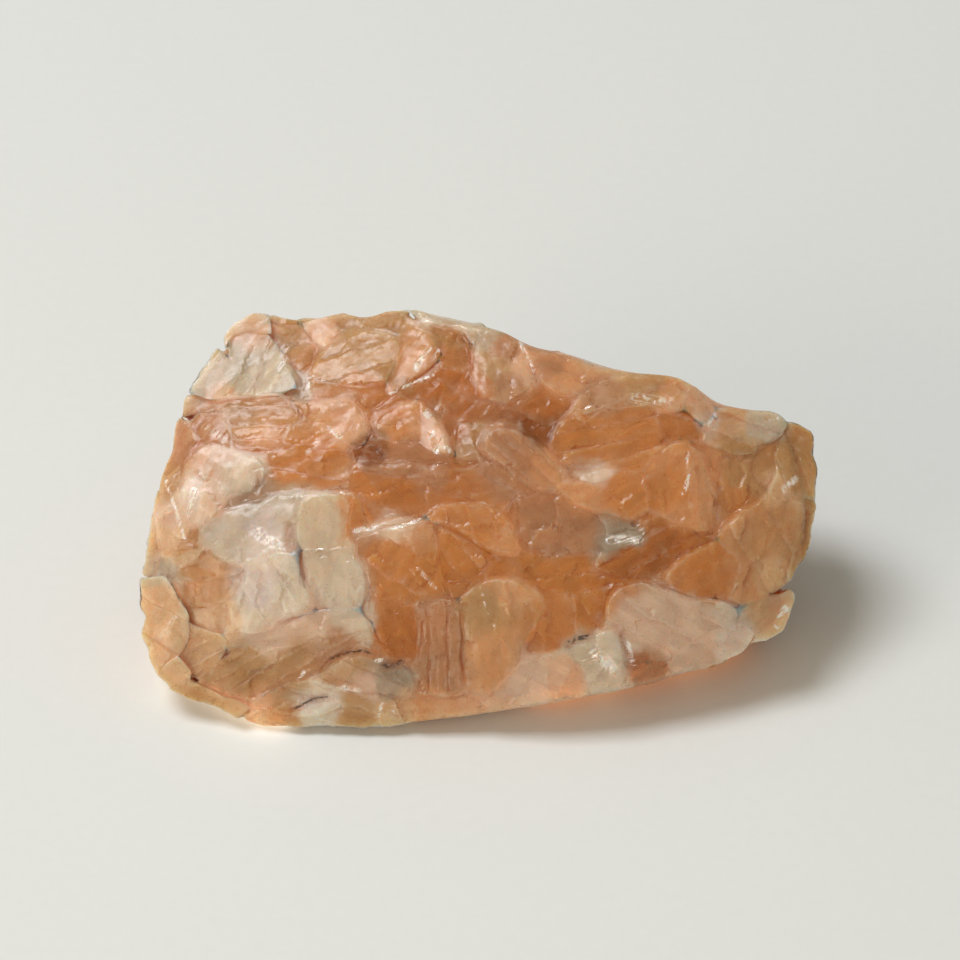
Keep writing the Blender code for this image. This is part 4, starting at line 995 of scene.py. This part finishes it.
    def _traced(self, marks: Sequence[Trace], u: np.ndarray, v: np.ndarray, w: np.ndarray) -> np.ndarray:
        """Finds how strongly each point carries some traces.

        Args:
            marks: The traces.
            u: Millimetres to the right, per point.
            v: Millimetres up the face, per point.
            w: Millimetres out of the face, per point.

        Returns:
            The strength, 0 to 1, per point.
        """
        mark = np.zeros(len(u))
        for trace in marks:
            ends = trace.run if len(trace.run) > 1 else trace.run * 2
            for (u0, v0), (u1, v1) in zip(ends, ends[1:]):
                span = max((u1 - u0) ** 2 + (v1 - v0) ** 2, self.least_span)
                share = np.clip(((u - u0) * (u1 - u0) + (v - v0) * (v1 - v0)) / span, 0.0, 1.0)
                far = np.hypot(u - u0 - share * (u1 - u0), v - v0 - share * (v1 - v0))
                near = np.exp(-((far / (self.trace_spread * trace.width)) ** 2))
                mark = np.maximum(mark, trace.strength * near)
        return np.where(w > 0.0, mark, 0.0)


@dataclass
class Wire:
    """One value in a material, which Python's own signs can work on."""

    tree: bpy.types.NodeTree
    socket: bpy.types.NodeSocket

    def _math(self, operation: str, *values: Any, clamp: bool = False) -> Wire:
        """Adds one Math node.

        Args:
            operation: The node's operation.
            values: What goes in, links or numbers.
            clamp: Whether the result is held to 0 to 1.

        Returns:
            The result.
        """
        node = self.tree.nodes.new("ShaderNodeMath")
        node.operation = operation
        node.use_clamp = clamp
        for index, value in enumerate(values):
            if isinstance(value, Wire):
                self.tree.links.new(value.socket, node.inputs[index])
            else:
                node.inputs[index].default_value = value
        return Wire(self.tree, node.outputs[0])

    def __add__(self, other: Any) -> Wire:
        """Sum."""
        return self._math("ADD", self, other)

    def __radd__(self, other: Any) -> Wire:
        """Sum, the other way round."""
        return self._math("ADD", other, self)

    def __sub__(self, other: Any) -> Wire:
        """Difference."""
        return self._math("SUBTRACT", self, other)

    def __rsub__(self, other: Any) -> Wire:
        """Difference, the other way round."""
        return self._math("SUBTRACT", other, self)

    def __mul__(self, other: Any) -> Wire:
        """Product."""
        return self._math("MULTIPLY", self, other)

    def __rmul__(self, other: Any) -> Wire:
        """Product, the other way round."""
        return self._math("MULTIPLY", other, self)

    def held(self) -> Wire:
        """The value held to 0 to 1."""
        return self._math("ADD", self, 0.0, clamp=True)

    def ramp(self, low: float, high: float) -> Wire:
        """Rises smoothly from 0 at the low value to 1 at the high one.

        Args:
            low: Where it leaves 0.
            high: Where it reaches 1.

        Returns:
            The result.
        """
        node = self.tree.nodes.new("ShaderNodeMapRange")
        node.interpolation_type = "SMOOTHSTEP"
        node.inputs["From Min"].default_value = low
        node.inputs["From Max"].default_value = high
        self.tree.links.new(self.socket, node.inputs["Value"])
        return Wire(self.tree, node.outputs["Result"])


@dataclass(frozen=True)
class Cloud:
    """One kind of cloudy noise.

    Args:
        scale: How fine it is.
        detail: How many layers it has.
        rough: How strong the finer layers are.
    """

    scale: float
    detail: float = 3.0
    rough: float = 0.55


@dataclass
class Bench:
    """Where one material's nodes are put together."""

    name: str
    material: bpy.types.Material = field(init=False)

    def __post_init__(self) -> None:
        """Starts an empty material with its output."""
        self.material = bpy.data.materials.new(self.name)
        self.material.use_nodes = True
        self.tree.nodes.clear()

    @property
    def tree(self) -> bpy.types.NodeTree:
        """The material's node tree."""
        return self.material.node_tree

    def node(
        self, kind: str, settings: dict[str, Any] | None = None, values: dict[Any, Any] | None = None
    ) -> bpy.types.Node:
        """Adds a node.

        Args:
            kind: The node's type.
            settings: Its settings, set first.
            values: What its sockets hold: a number, a tuple or a Wire.

        Returns:
            The node.
        """
        node = self.tree.nodes.new(kind)
        for key, value in (settings or {}).items():
            setattr(node, key, value)
        for key, value in (values or {}).items():
            if isinstance(value, Wire):
                self.tree.links.new(value.socket, node.inputs[key])
            else:
                node.inputs[key].default_value = value
        return node

    def wire(self, node: bpy.types.Node, output: Any = 0) -> Wire:
        """The value that leaves a node by one of its outputs."""
        return Wire(self.tree, node.outputs[output])

    def attribute(self, name: str, output: str = "Fac") -> Wire:
        """The value of one of the mesh's attributes."""
        return self.wire(self.node("ShaderNodeAttribute", {"attribute_name": name}), output)

    def vector(self, operation: str, *values: Any, output: str = "Vector") -> Wire:
        """Adds one Vector Math node.

        Args:
            operation: The node's operation.
            values: What goes in.
            output: Which output is wanted.

        Returns:
            The result.
        """
        node = self.node("ShaderNodeVectorMath", {"operation": operation}, dict(enumerate(values)))
        return self.wire(node, output)

    def scaled(self, value: Any, factor: Any) -> Wire:
        """The vector made longer or shorter by a factor."""
        node = self.node("ShaderNodeVectorMath", {"operation": "SCALE"}, {"Vector": value, "Scale": factor})
        return self.wire(node, "Vector")

    def mix(self, factor: Any, first: Any, second: Any, blend: str = "MIX") -> Wire:
        """Mixes two colours.

        Args:
            factor: How much of the second.
            first: The first colour.
            second: The second colour.
            blend: The way they mix.

        Returns:
            The mixed colour.
        """
        settings = {"data_type": "RGBA", "blend_type": blend, "clamp_factor": True}
        first, second = (c + (1.0,) if isinstance(c, tuple) else c for c in (first, second))
        node = self.node("ShaderNodeMix", settings, {0: factor, 6: first, 7: second})
        return self.wire(node, 2)

    def grey(self, value: Wire) -> Wire:
        """The grey of a value."""
        return self.wire(self.node("ShaderNodeCombineColor", {}, {0: value, 1: value, 2: value}))

    def noise(self, place: Wire, cloud: Cloud) -> Wire:
        """Cloudy noise, about 0.5, read at a place."""
        values = {"Vector": place, "Scale": cloud.scale, "Detail": cloud.detail, "Roughness": cloud.rough}
        return self.wire(self.node("ShaderNodeTexNoise", {}, values), "Fac")

    def cells(self, place: Wire, scale: float = 1.0) -> Wire:
        """A field of cells, each of its own colour, read at a place."""
        node = self.node("ShaderNodeTexVoronoi", {"feature": "F1"}, {"Vector": place, "Scale": scale})
        return self.wire(node, "Color")


class Grain:
    """The patterns that the crystal's colour, gloss and relief share."""

    def __init__(self, b: Bench, finish: CrystalFinish) -> None:
        """Draws the patterns: fine lines and bands along the grain, clouds and flecks everywhere.

        Args:
            b: Where the nodes are put.
            finish: How they are drawn.
        """
        self.bench = b
        self.place = b.wire(b.node("ShaderNodeTexCoord"), "Object")
        self.across = b.attribute("across", "Vector")
        self.side = b.vector("DOT_PRODUCT", self.place, self.across, output="Value")
        self.fine = self.drawn(finish.fine_run)
        self.broad = self.drawn(finish.broad_run)
        self.lines = b.noise(self.fine, finish.lines)
        self.bands = b.noise(self.broad, finish.bands)
        self.cloud = b.noise(self.place, finish.cloud)
        self.fleck = b.noise(self.place, finish.fleck)
        # The frosted ridges, whose glints are partly painted into the colour.
        self.frost_and_painted_glint = b.attribute("frost_and_painted_glint").ramp(*finish.frost_and_painted_glint_span)

    def drawn(self, run: tuple[float, float]) -> Wire:
        """The place scaled by the first number, and by the second one more across the grain."""
        b = self.bench
        return b.vector("ADD", b.scaled(self.place, run[0]), b.scaled(self.across, self.side * run[1]))


@dataclass(frozen=True)
class CrystalFinish:
    """How the crystal takes light.

    A run is the two scales that Grain.drawn takes. A span is where a mask leaves 0 and where it reaches
    1. A share is how much of something is mixed in, and a gain is what a pattern is multiplied by.
    """

    veil: tuple[float, float, float] = linear(236, 214, 190)
    # The deeper orange that is painted as shade into the hollows.
    hollow_shade_colour: tuple[float, float, float] = linear(182, 92, 30)
    cast: tuple[float, float, float] = (0.97, 1.08, 0.93)
    milk_cast: tuple[float, float, float] = (0.96, 0.87, 0.78)
    dirt: tuple[float, float, float] = linear(74, 48, 30)
    # The pale colour of the ridge edges, partly real wear and partly a painted highlight, and of the pale
    # flecks.
    pale_wear_and_highlight: tuple[float, float, float] = linear(246, 226, 204)
    # The white that is painted into the colour as glints on the frosted ridges.
    glint: tuple[float, float, float] = linear(255, 244, 232)

    # The patterns.
    fine_run: tuple[float, float] = (110.0, 1900.0)
    broad_run: tuple[float, float] = (60.0, 520.0)
    pane_run: tuple[float, float] = (330.0, 480.0)
    step_run: tuple[float, float] = (420.0, 620.0)
    lines: Cloud = Cloud(1.0, 2.0, 0.5)
    bands: Cloud = Cloud(1.0, 3.0, 0.6)
    wisp: Cloud = Cloud(1.7, 4.0, 0.65)
    cloud: Cloud = Cloud(150.0, 5.0, 0.62)
    fleck: Cloud = Cloud(900.0, 3.0, 0.6)
    spots: Cloud = Cloud(1400.0, 2.0, 0.6)
    painted_sparkle: Cloud = Cloud(2.0, 3.0, 0.7)
    grit_scale: float = 2300.0
    frost_and_painted_glint_span: tuple[float, float] = (0.28, 0.7)

    # The milky veil, and the painted shade, a deeper orange, in the hollows.
    cloud_start: float = 0.42
    cloud_gain: float = 1.9
    wisp_start: float = 0.5
    wisp_gain: float = 0.8
    milk_gain: float = 0.55
    veil_start: float = 0.28
    veil_share: float = 0.18
    veil_milk_share: float = 0.5
    hollow_shade_span: tuple[float, float] = (0.08, 0.7)
    hollow_shade_share: float = 0.4
    hollow_shade_milk_loss: float = 0.55

    # The light and dark of the grain and its panes.
    shade_least: float = 0.79
    shade_bands: float = 0.13
    shade_lines: float = 0.14
    shade_panes: float = 0.14

    # The pale edges, partly worn and partly a painted highlight, and the pale flecks; the painted glints on
    # the frosted ridges; and the dirt.
    edge_wear_and_highlight_fleck_span: tuple[float, float] = (0.36, 0.6)
    edge_wear_and_highlight_cloud_span: tuple[float, float] = (0.34, 0.56)
    edge_wear_and_highlight_share: float = 0.2
    pale_span: tuple[float, float] = (0.6, 0.74)
    pale_share: float = 0.16
    painted_sparkle_span: tuple[float, float] = (0.5, 0.56)
    painted_glint_fleck_span: tuple[float, float] = (0.52, 0.57)
    painted_glint_fleck_share: float = 0.8
    painted_glitter_share: float = 0.8
    spot_span: tuple[float, float] = (0.42, 0.58)
    grime_span: tuple[float, float] = (0.5, 0.95)
    dirt_least: float = 0.1
    dirt_spots: float = 0.75

    # The small cleaved steps and splinters, and the fine relief.
    middle: tuple[float, float, float] = (0.5, 0.5, 0.5)
    step_lean: float = 0.11
    spark_fleck_span: tuple[float, float] = (0.56, 0.7)
    spark_cloud_span: tuple[float, float] = (0.44, 0.62)
    spark_share: float = 0.25
    spark_lean: float = 0.8
    splinter_lean: tuple[float, float, float] = (-0.2, 0.3, 0.22)
    relief_strength: float = 0.14
    relief_depth: float = 0.0003
    relief_lines: float = 0.35
    relief_bands: float = 0.6
    relief_flecks: float = 0.1

    # How it scatters, lets through and throws back light.
    rough_least: float = 0.17
    rough_flecks: float = 0.24
    frost_polish: float = 0.75
    rough_dirt: float = 0.4
    scatter_radius: tuple[float, float, float] = (1.0, 0.6, 0.38)
    scatter_scale: float = 0.007
    scatter_weight: float = 0.85
    transmission: float = 0.15
    ior: float = 1.6
    shine: float = 0.22
    gloss: float = 0.15
    gloss_rough: float = 0.09
    gloss_ior: float = 1.5

    def make(self) -> bpy.types.Material:
        """Builds the material.

        Returns:
            The material.
        """
        b = Bench("crystal")
        g = Grain(b, self)
        spots = b.noise(g.place, self.spots).ramp(*self.spot_span)
        dirt = b.attribute("grime").ramp(*self.grime_span) * (self.dirt_least + self.dirt_spots * spots)
        dirt = dirt.held()
        height = g.lines * self.relief_lines + g.bands * self.relief_bands + g.fleck * self.relief_flecks
        relief = {
            "Strength": self.relief_strength, "Distance": self.relief_depth,
            "Height": height, "Normal": self._tilted(b, g),
        }
        rough = (self.rough_least + self.rough_flecks * g.fleck) * (1.0 - self.frost_polish * g.frost_and_painted_glint)
        shader = b.node(
            "ShaderNodeBsdfPrincipled", {"subsurface_method": "RANDOM_WALK"}, {
                "Base Color": b.mix(dirt, self._clean_colour(b, g), self.dirt),
                "Roughness": (rough + self.rough_dirt * dirt).held(),
                "Normal": b.wire(b.node("ShaderNodeBump", {}, relief)),
                "IOR": self.ior, "Subsurface Weight": self.scatter_weight,
                "Subsurface Radius": self.scatter_radius, "Subsurface Scale": self.scatter_scale,
                "Transmission Weight": self.transmission, "Specular IOR Level": self.shine,
                "Coat Weight": self.gloss, "Coat Roughness": self.gloss_rough, "Coat IOR": self.gloss_ior,
            },
        )
        b.node("ShaderNodeOutputMaterial", {}, {"Surface": b.wire(shader)})
        return b.material

    def _clean_colour(self, b: Bench, g: Grain) -> Wire:
        """Mixes the crystal's colour, before any dirt, with painted shade in the hollows, pale edges that are
        partly a painted highlight, and painted glints on the frosted ridges.

        Args:
            b: Where the nodes are put.
            g: The patterns.

        Returns:
            The colour.
        """
        milk = b.attribute("tint", "Alpha")
        wisp = b.noise(g.broad, self.wisp)
        cloudy = (g.cloud - self.cloud_start) * self.cloud_gain + (wisp - self.wisp_start) * self.wisp_gain
        veil = (cloudy + milk * self.milk_gain - self.veil_start).held()
        veil = veil * (self.veil_share + self.veil_milk_share * milk)
        colour = b.mix(veil, b.attribute("tint", "Color"), self.veil)
        # Painted shade: where the neighbours close the view in, the colour turns a deeper orange.
        hollow_shade = b.attribute("hollow_shade").ramp(*self.hollow_shade_span)
        deep = (hollow_shade * (1.0 - self.hollow_shade_milk_loss * milk) * self.hollow_shade_share).held()
        colour = b.mix(deep, colour, self.hollow_shade_colour)
        colour = b.mix(1.0, colour, b.mix(milk, self.cast, self.milk_cast), "MULTIPLY")
        pane = b.wire(b.node("ShaderNodeSeparateColor", {}, {0: b.cells(g.drawn(self.pane_run))}))
        shade = self.shade_least + self.shade_bands * g.bands + self.shade_lines * g.lines
        colour = b.mix(1.0, colour, b.grey(shade + self.shade_panes * pane), "MULTIPLY")
        # Pale ridge edges: partly worn and partly a painted highlight where light catches them.
        edge = b.attribute("wear_and_highlight") * g.fleck.ramp(*self.edge_wear_and_highlight_fleck_span) * g.cloud.ramp(*self.edge_wear_and_highlight_cloud_span)
        pale_wear_and_highlight = (edge * self.edge_wear_and_highlight_share + g.fleck.ramp(*self.pale_span) * self.pale_share).held()
        colour = b.mix(pale_wear_and_highlight, colour, self.pale_wear_and_highlight)
        # Painted glints: thin white lines and flecks on the frosted ridges, mixed into the colour as
        # highlights.
        painted_sparkle = b.noise(g.fine, self.painted_sparkle).ramp(*self.painted_sparkle_span)
        painted_glitter = (g.frost_and_painted_glint * (painted_sparkle + g.fleck.ramp(*self.painted_glint_fleck_span) * self.painted_glint_fleck_share)).held()
        return b.mix(painted_glitter * self.painted_glitter_share, colour, self.glint)

    def _tilted(self, b: Bench, g: Grain) -> Wire:
        """Leans the surface by the crystal's own plane, its cleaved steps and its splinters.

        Args:
            b: Where the nodes are put.
            g: The patterns.

        Returns:
            The leaning normal.
        """
        spark = g.fleck.ramp(*self.spark_fleck_span) * g.cloud.ramp(*self.spark_cloud_span)
        spark = (spark * self.spark_share + g.frost_and_painted_glint) * self.spark_lean
        leaning = b.wire(b.node("ShaderNodeNewGeometry"), "Normal")
        for lean in (
            b.attribute("lean", "Vector"),
            b.scaled(b.vector("SUBTRACT", b.cells(g.drawn(self.step_run)), self.middle), self.step_lean),
            b.scaled(b.vector("SUBTRACT", b.cells(g.place, self.grit_scale), self.middle), spark),
            b.scaled(self.splinter_lean, g.frost_and_painted_glint),
        ):
            leaning = b.vector("ADD", leaning, lean)
        return b.vector("NORMALIZE", leaning)


@dataclass(frozen=True)
class TableFinish:
    """The pale table top."""

    colour: tuple[float, float, float] = linear(233, 234, 230)
    mottle: float = 0.02
    grain: Cloud = Cloud(600.0, 4.0)
    rough: float = 0.85

    def make(self) -> bpy.types.Material:
        """Builds the material.

        Returns:
            The material.
        """
        b = Bench("table")
        place = b.wire(b.node("ShaderNodeTexCoord"), "Object")
        grain = 1.0 - self.mottle + 2.0 * self.mottle * b.noise(place, self.grain)
        colour = b.mix(1.0, self.colour, b.grey(grain), "MULTIPLY")
        shader = b.node("ShaderNodeBsdfPrincipled", {}, {"Base Color": colour, "Roughness": self.rough})
        b.node("ShaderNodeOutputMaterial", {}, {"Surface": b.wire(shader)})
        return b.material


class Reach(Enum):
    """What a lamp lights."""

    ALL = "all"
    TABLE = "table"
    STONE = "stone"


@dataclass(frozen=True)
class Lamp:
    """One soft box.

    Args:
        name: Its name.
        place: Where it hangs, in metres.
        aim: What it points at, in metres.
        size: Its width and height, in metres.
        power: Its power in watts.
        colour: Its colour.
        reach: What it lights.
    """

    name: str
    place: tuple[float, float, float]
    aim: tuple[float, float, float]
    size: tuple[float, float]
    power: float
    colour: tuple[float, float, float] = (1.0, 1.0, 1.0)
    reach: Reach = Reach.ALL

    def hang(self, lit_alone: dict[Reach, bpy.types.Object]) -> None:
        """Puts the lamp into the scene.

        Args:
            lit_alone: The one thing that a lamp of each narrower reach lights.
        """
        light = bpy.data.lights.new(self.name, "AREA")
        light.shape = "RECTANGLE"
        light.size, light.size_y = self.size
        light.energy = self.power
        light.color = self.colour
        lamp = bpy.data.objects.new(self.name, light)
        lamp.location = self.place
        way = Vector(self.aim) - Vector(self.place)
        lamp.rotation_euler = way.to_track_quat("-Z", "Y").to_euler()
        lamp.visible_camera = False
        lamp.visible_transmission = False
        if self.reach in lit_alone:
            lit = bpy.data.collections.new(self.name)
            lit.objects.link(lit_alone[self.reach])
            lamp.light_linking.receiver_collection = lit
            lamp.light_linking.blocker_collection = lit
        bpy.context.scene.collection.objects.link(lamp)


@dataclass
class Studio:
    """The table, the lights and the camera."""

    lens: float = 150.0
    sensor: float = 36.0
    nearest: float = 0.01
    view_width: float = 134.4
    rim_height: float = 6.0
    view_centre: tuple[float, float] = (0.0, 5.18)
    table_size: float = 3.0
    sky: tuple[float, float, float] = (0.93, 0.89, 0.78)
    sky_strength: float = 0.33
    lamps: tuple[Lamp, ...] = (
        Lamp("key", (-0.66, 0.04, 1.44), (0.0, 0.0, 0.01), (0.7, 0.7), 14.5, (1.0, 1.03, 1.08)),
        Lamp("low_fill", (-0.9, -0.7, 0.36), (0.0, 0.0, 0.01), (0.8, 0.5), 5.0, (1.0, 0.91, 0.76)),
        Lamp("glint", (-0.06, 0.42, 0.5), (0.0, 0.0, 0.02), (0.02, 0.02), 0.45, reach=Reach.STONE),
        Lamp("amber_glow", (0.021, -0.0132, 0.0016), (0.0245, -0.0224, -0.003), (0.03, 0.0015), 0.0011,
             (1.0, 0.3, 0.06), Reach.TABLE),
        Lamp("toe_glow", (-0.034, -0.0195, 0.0016), (-0.038, -0.0246, -0.003), (0.018, 0.0015), 0.0007,
             (1.0, 0.86, 0.7), Reach.TABLE),
    )

    def build(self, stone: bpy.types.Object) -> None:
        """Sets the table, the lamps, the sky and the camera up.

        Args:
            stone: The specimen.
        """
        bm = bmesh.new()
        bmesh.ops.create_grid(bm, x_segments=2, y_segments=2, size=self.table_size)
        mesh = bpy.data.meshes.new("table")
        bm.to_mesh(mesh)
        bm.free()
        table = bpy.data.objects.new("table", mesh)
        bpy.context.scene.collection.objects.link(table)
        mesh.materials.append(TableFinish().make())
        for lamp in self.lamps:
            lamp.hang({Reach.TABLE: table, Reach.STONE: stone})
        self._sky()
        self._camera()

    def _sky(self) -> None:
        """Lights the scene softly from all round."""
        world = bpy.data.worlds.new("studio")
        world.use_nodes = True
        background = world.node_tree.nodes["Background"]
        background.inputs["Color"].default_value = self.sky + (1.0,)
        background.inputs["Strength"].default_value = self.sky_strength
        bpy.context.scene.world = world
        bpy.context.scene.view_settings.view_transform = "Standard"

    def _camera(self) -> None:
        """Places the camera square to the show face."""
        data = bpy.data.cameras.new("camera")
        data.lens = self.lens
        data.sensor_width = self.sensor
        data.clip_start = self.nearest
        camera = bpy.data.objects.new("camera", data)
        distance = self.view_width * self.lens / self.sensor
        camera.location = on_face(*self.view_centre, self.rim_height + distance)
        turn = Matrix((FACE_RIGHT, FACE_UP, FACE_OUT)).transposed()
        camera.rotation_euler = turn.to_euler()
        bpy.context.scene.collection.objects.link(camera)
        bpy.context.scene.camera = camera


def main() -> None:
    """Builds the specimen and its studio."""
    logging.basicConfig(level=logging.INFO, format="%(message)s")
    mass = CrystalMass()
    piece = mass.build()
    mass.dress(piece)
    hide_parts(mass.node)
    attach(piece, "root")
    LOG.info("%s: %d faces", piece.name, len(piece.data.polygons))
    Studio().build(piece)


if __name__ == "__main__":
    main()
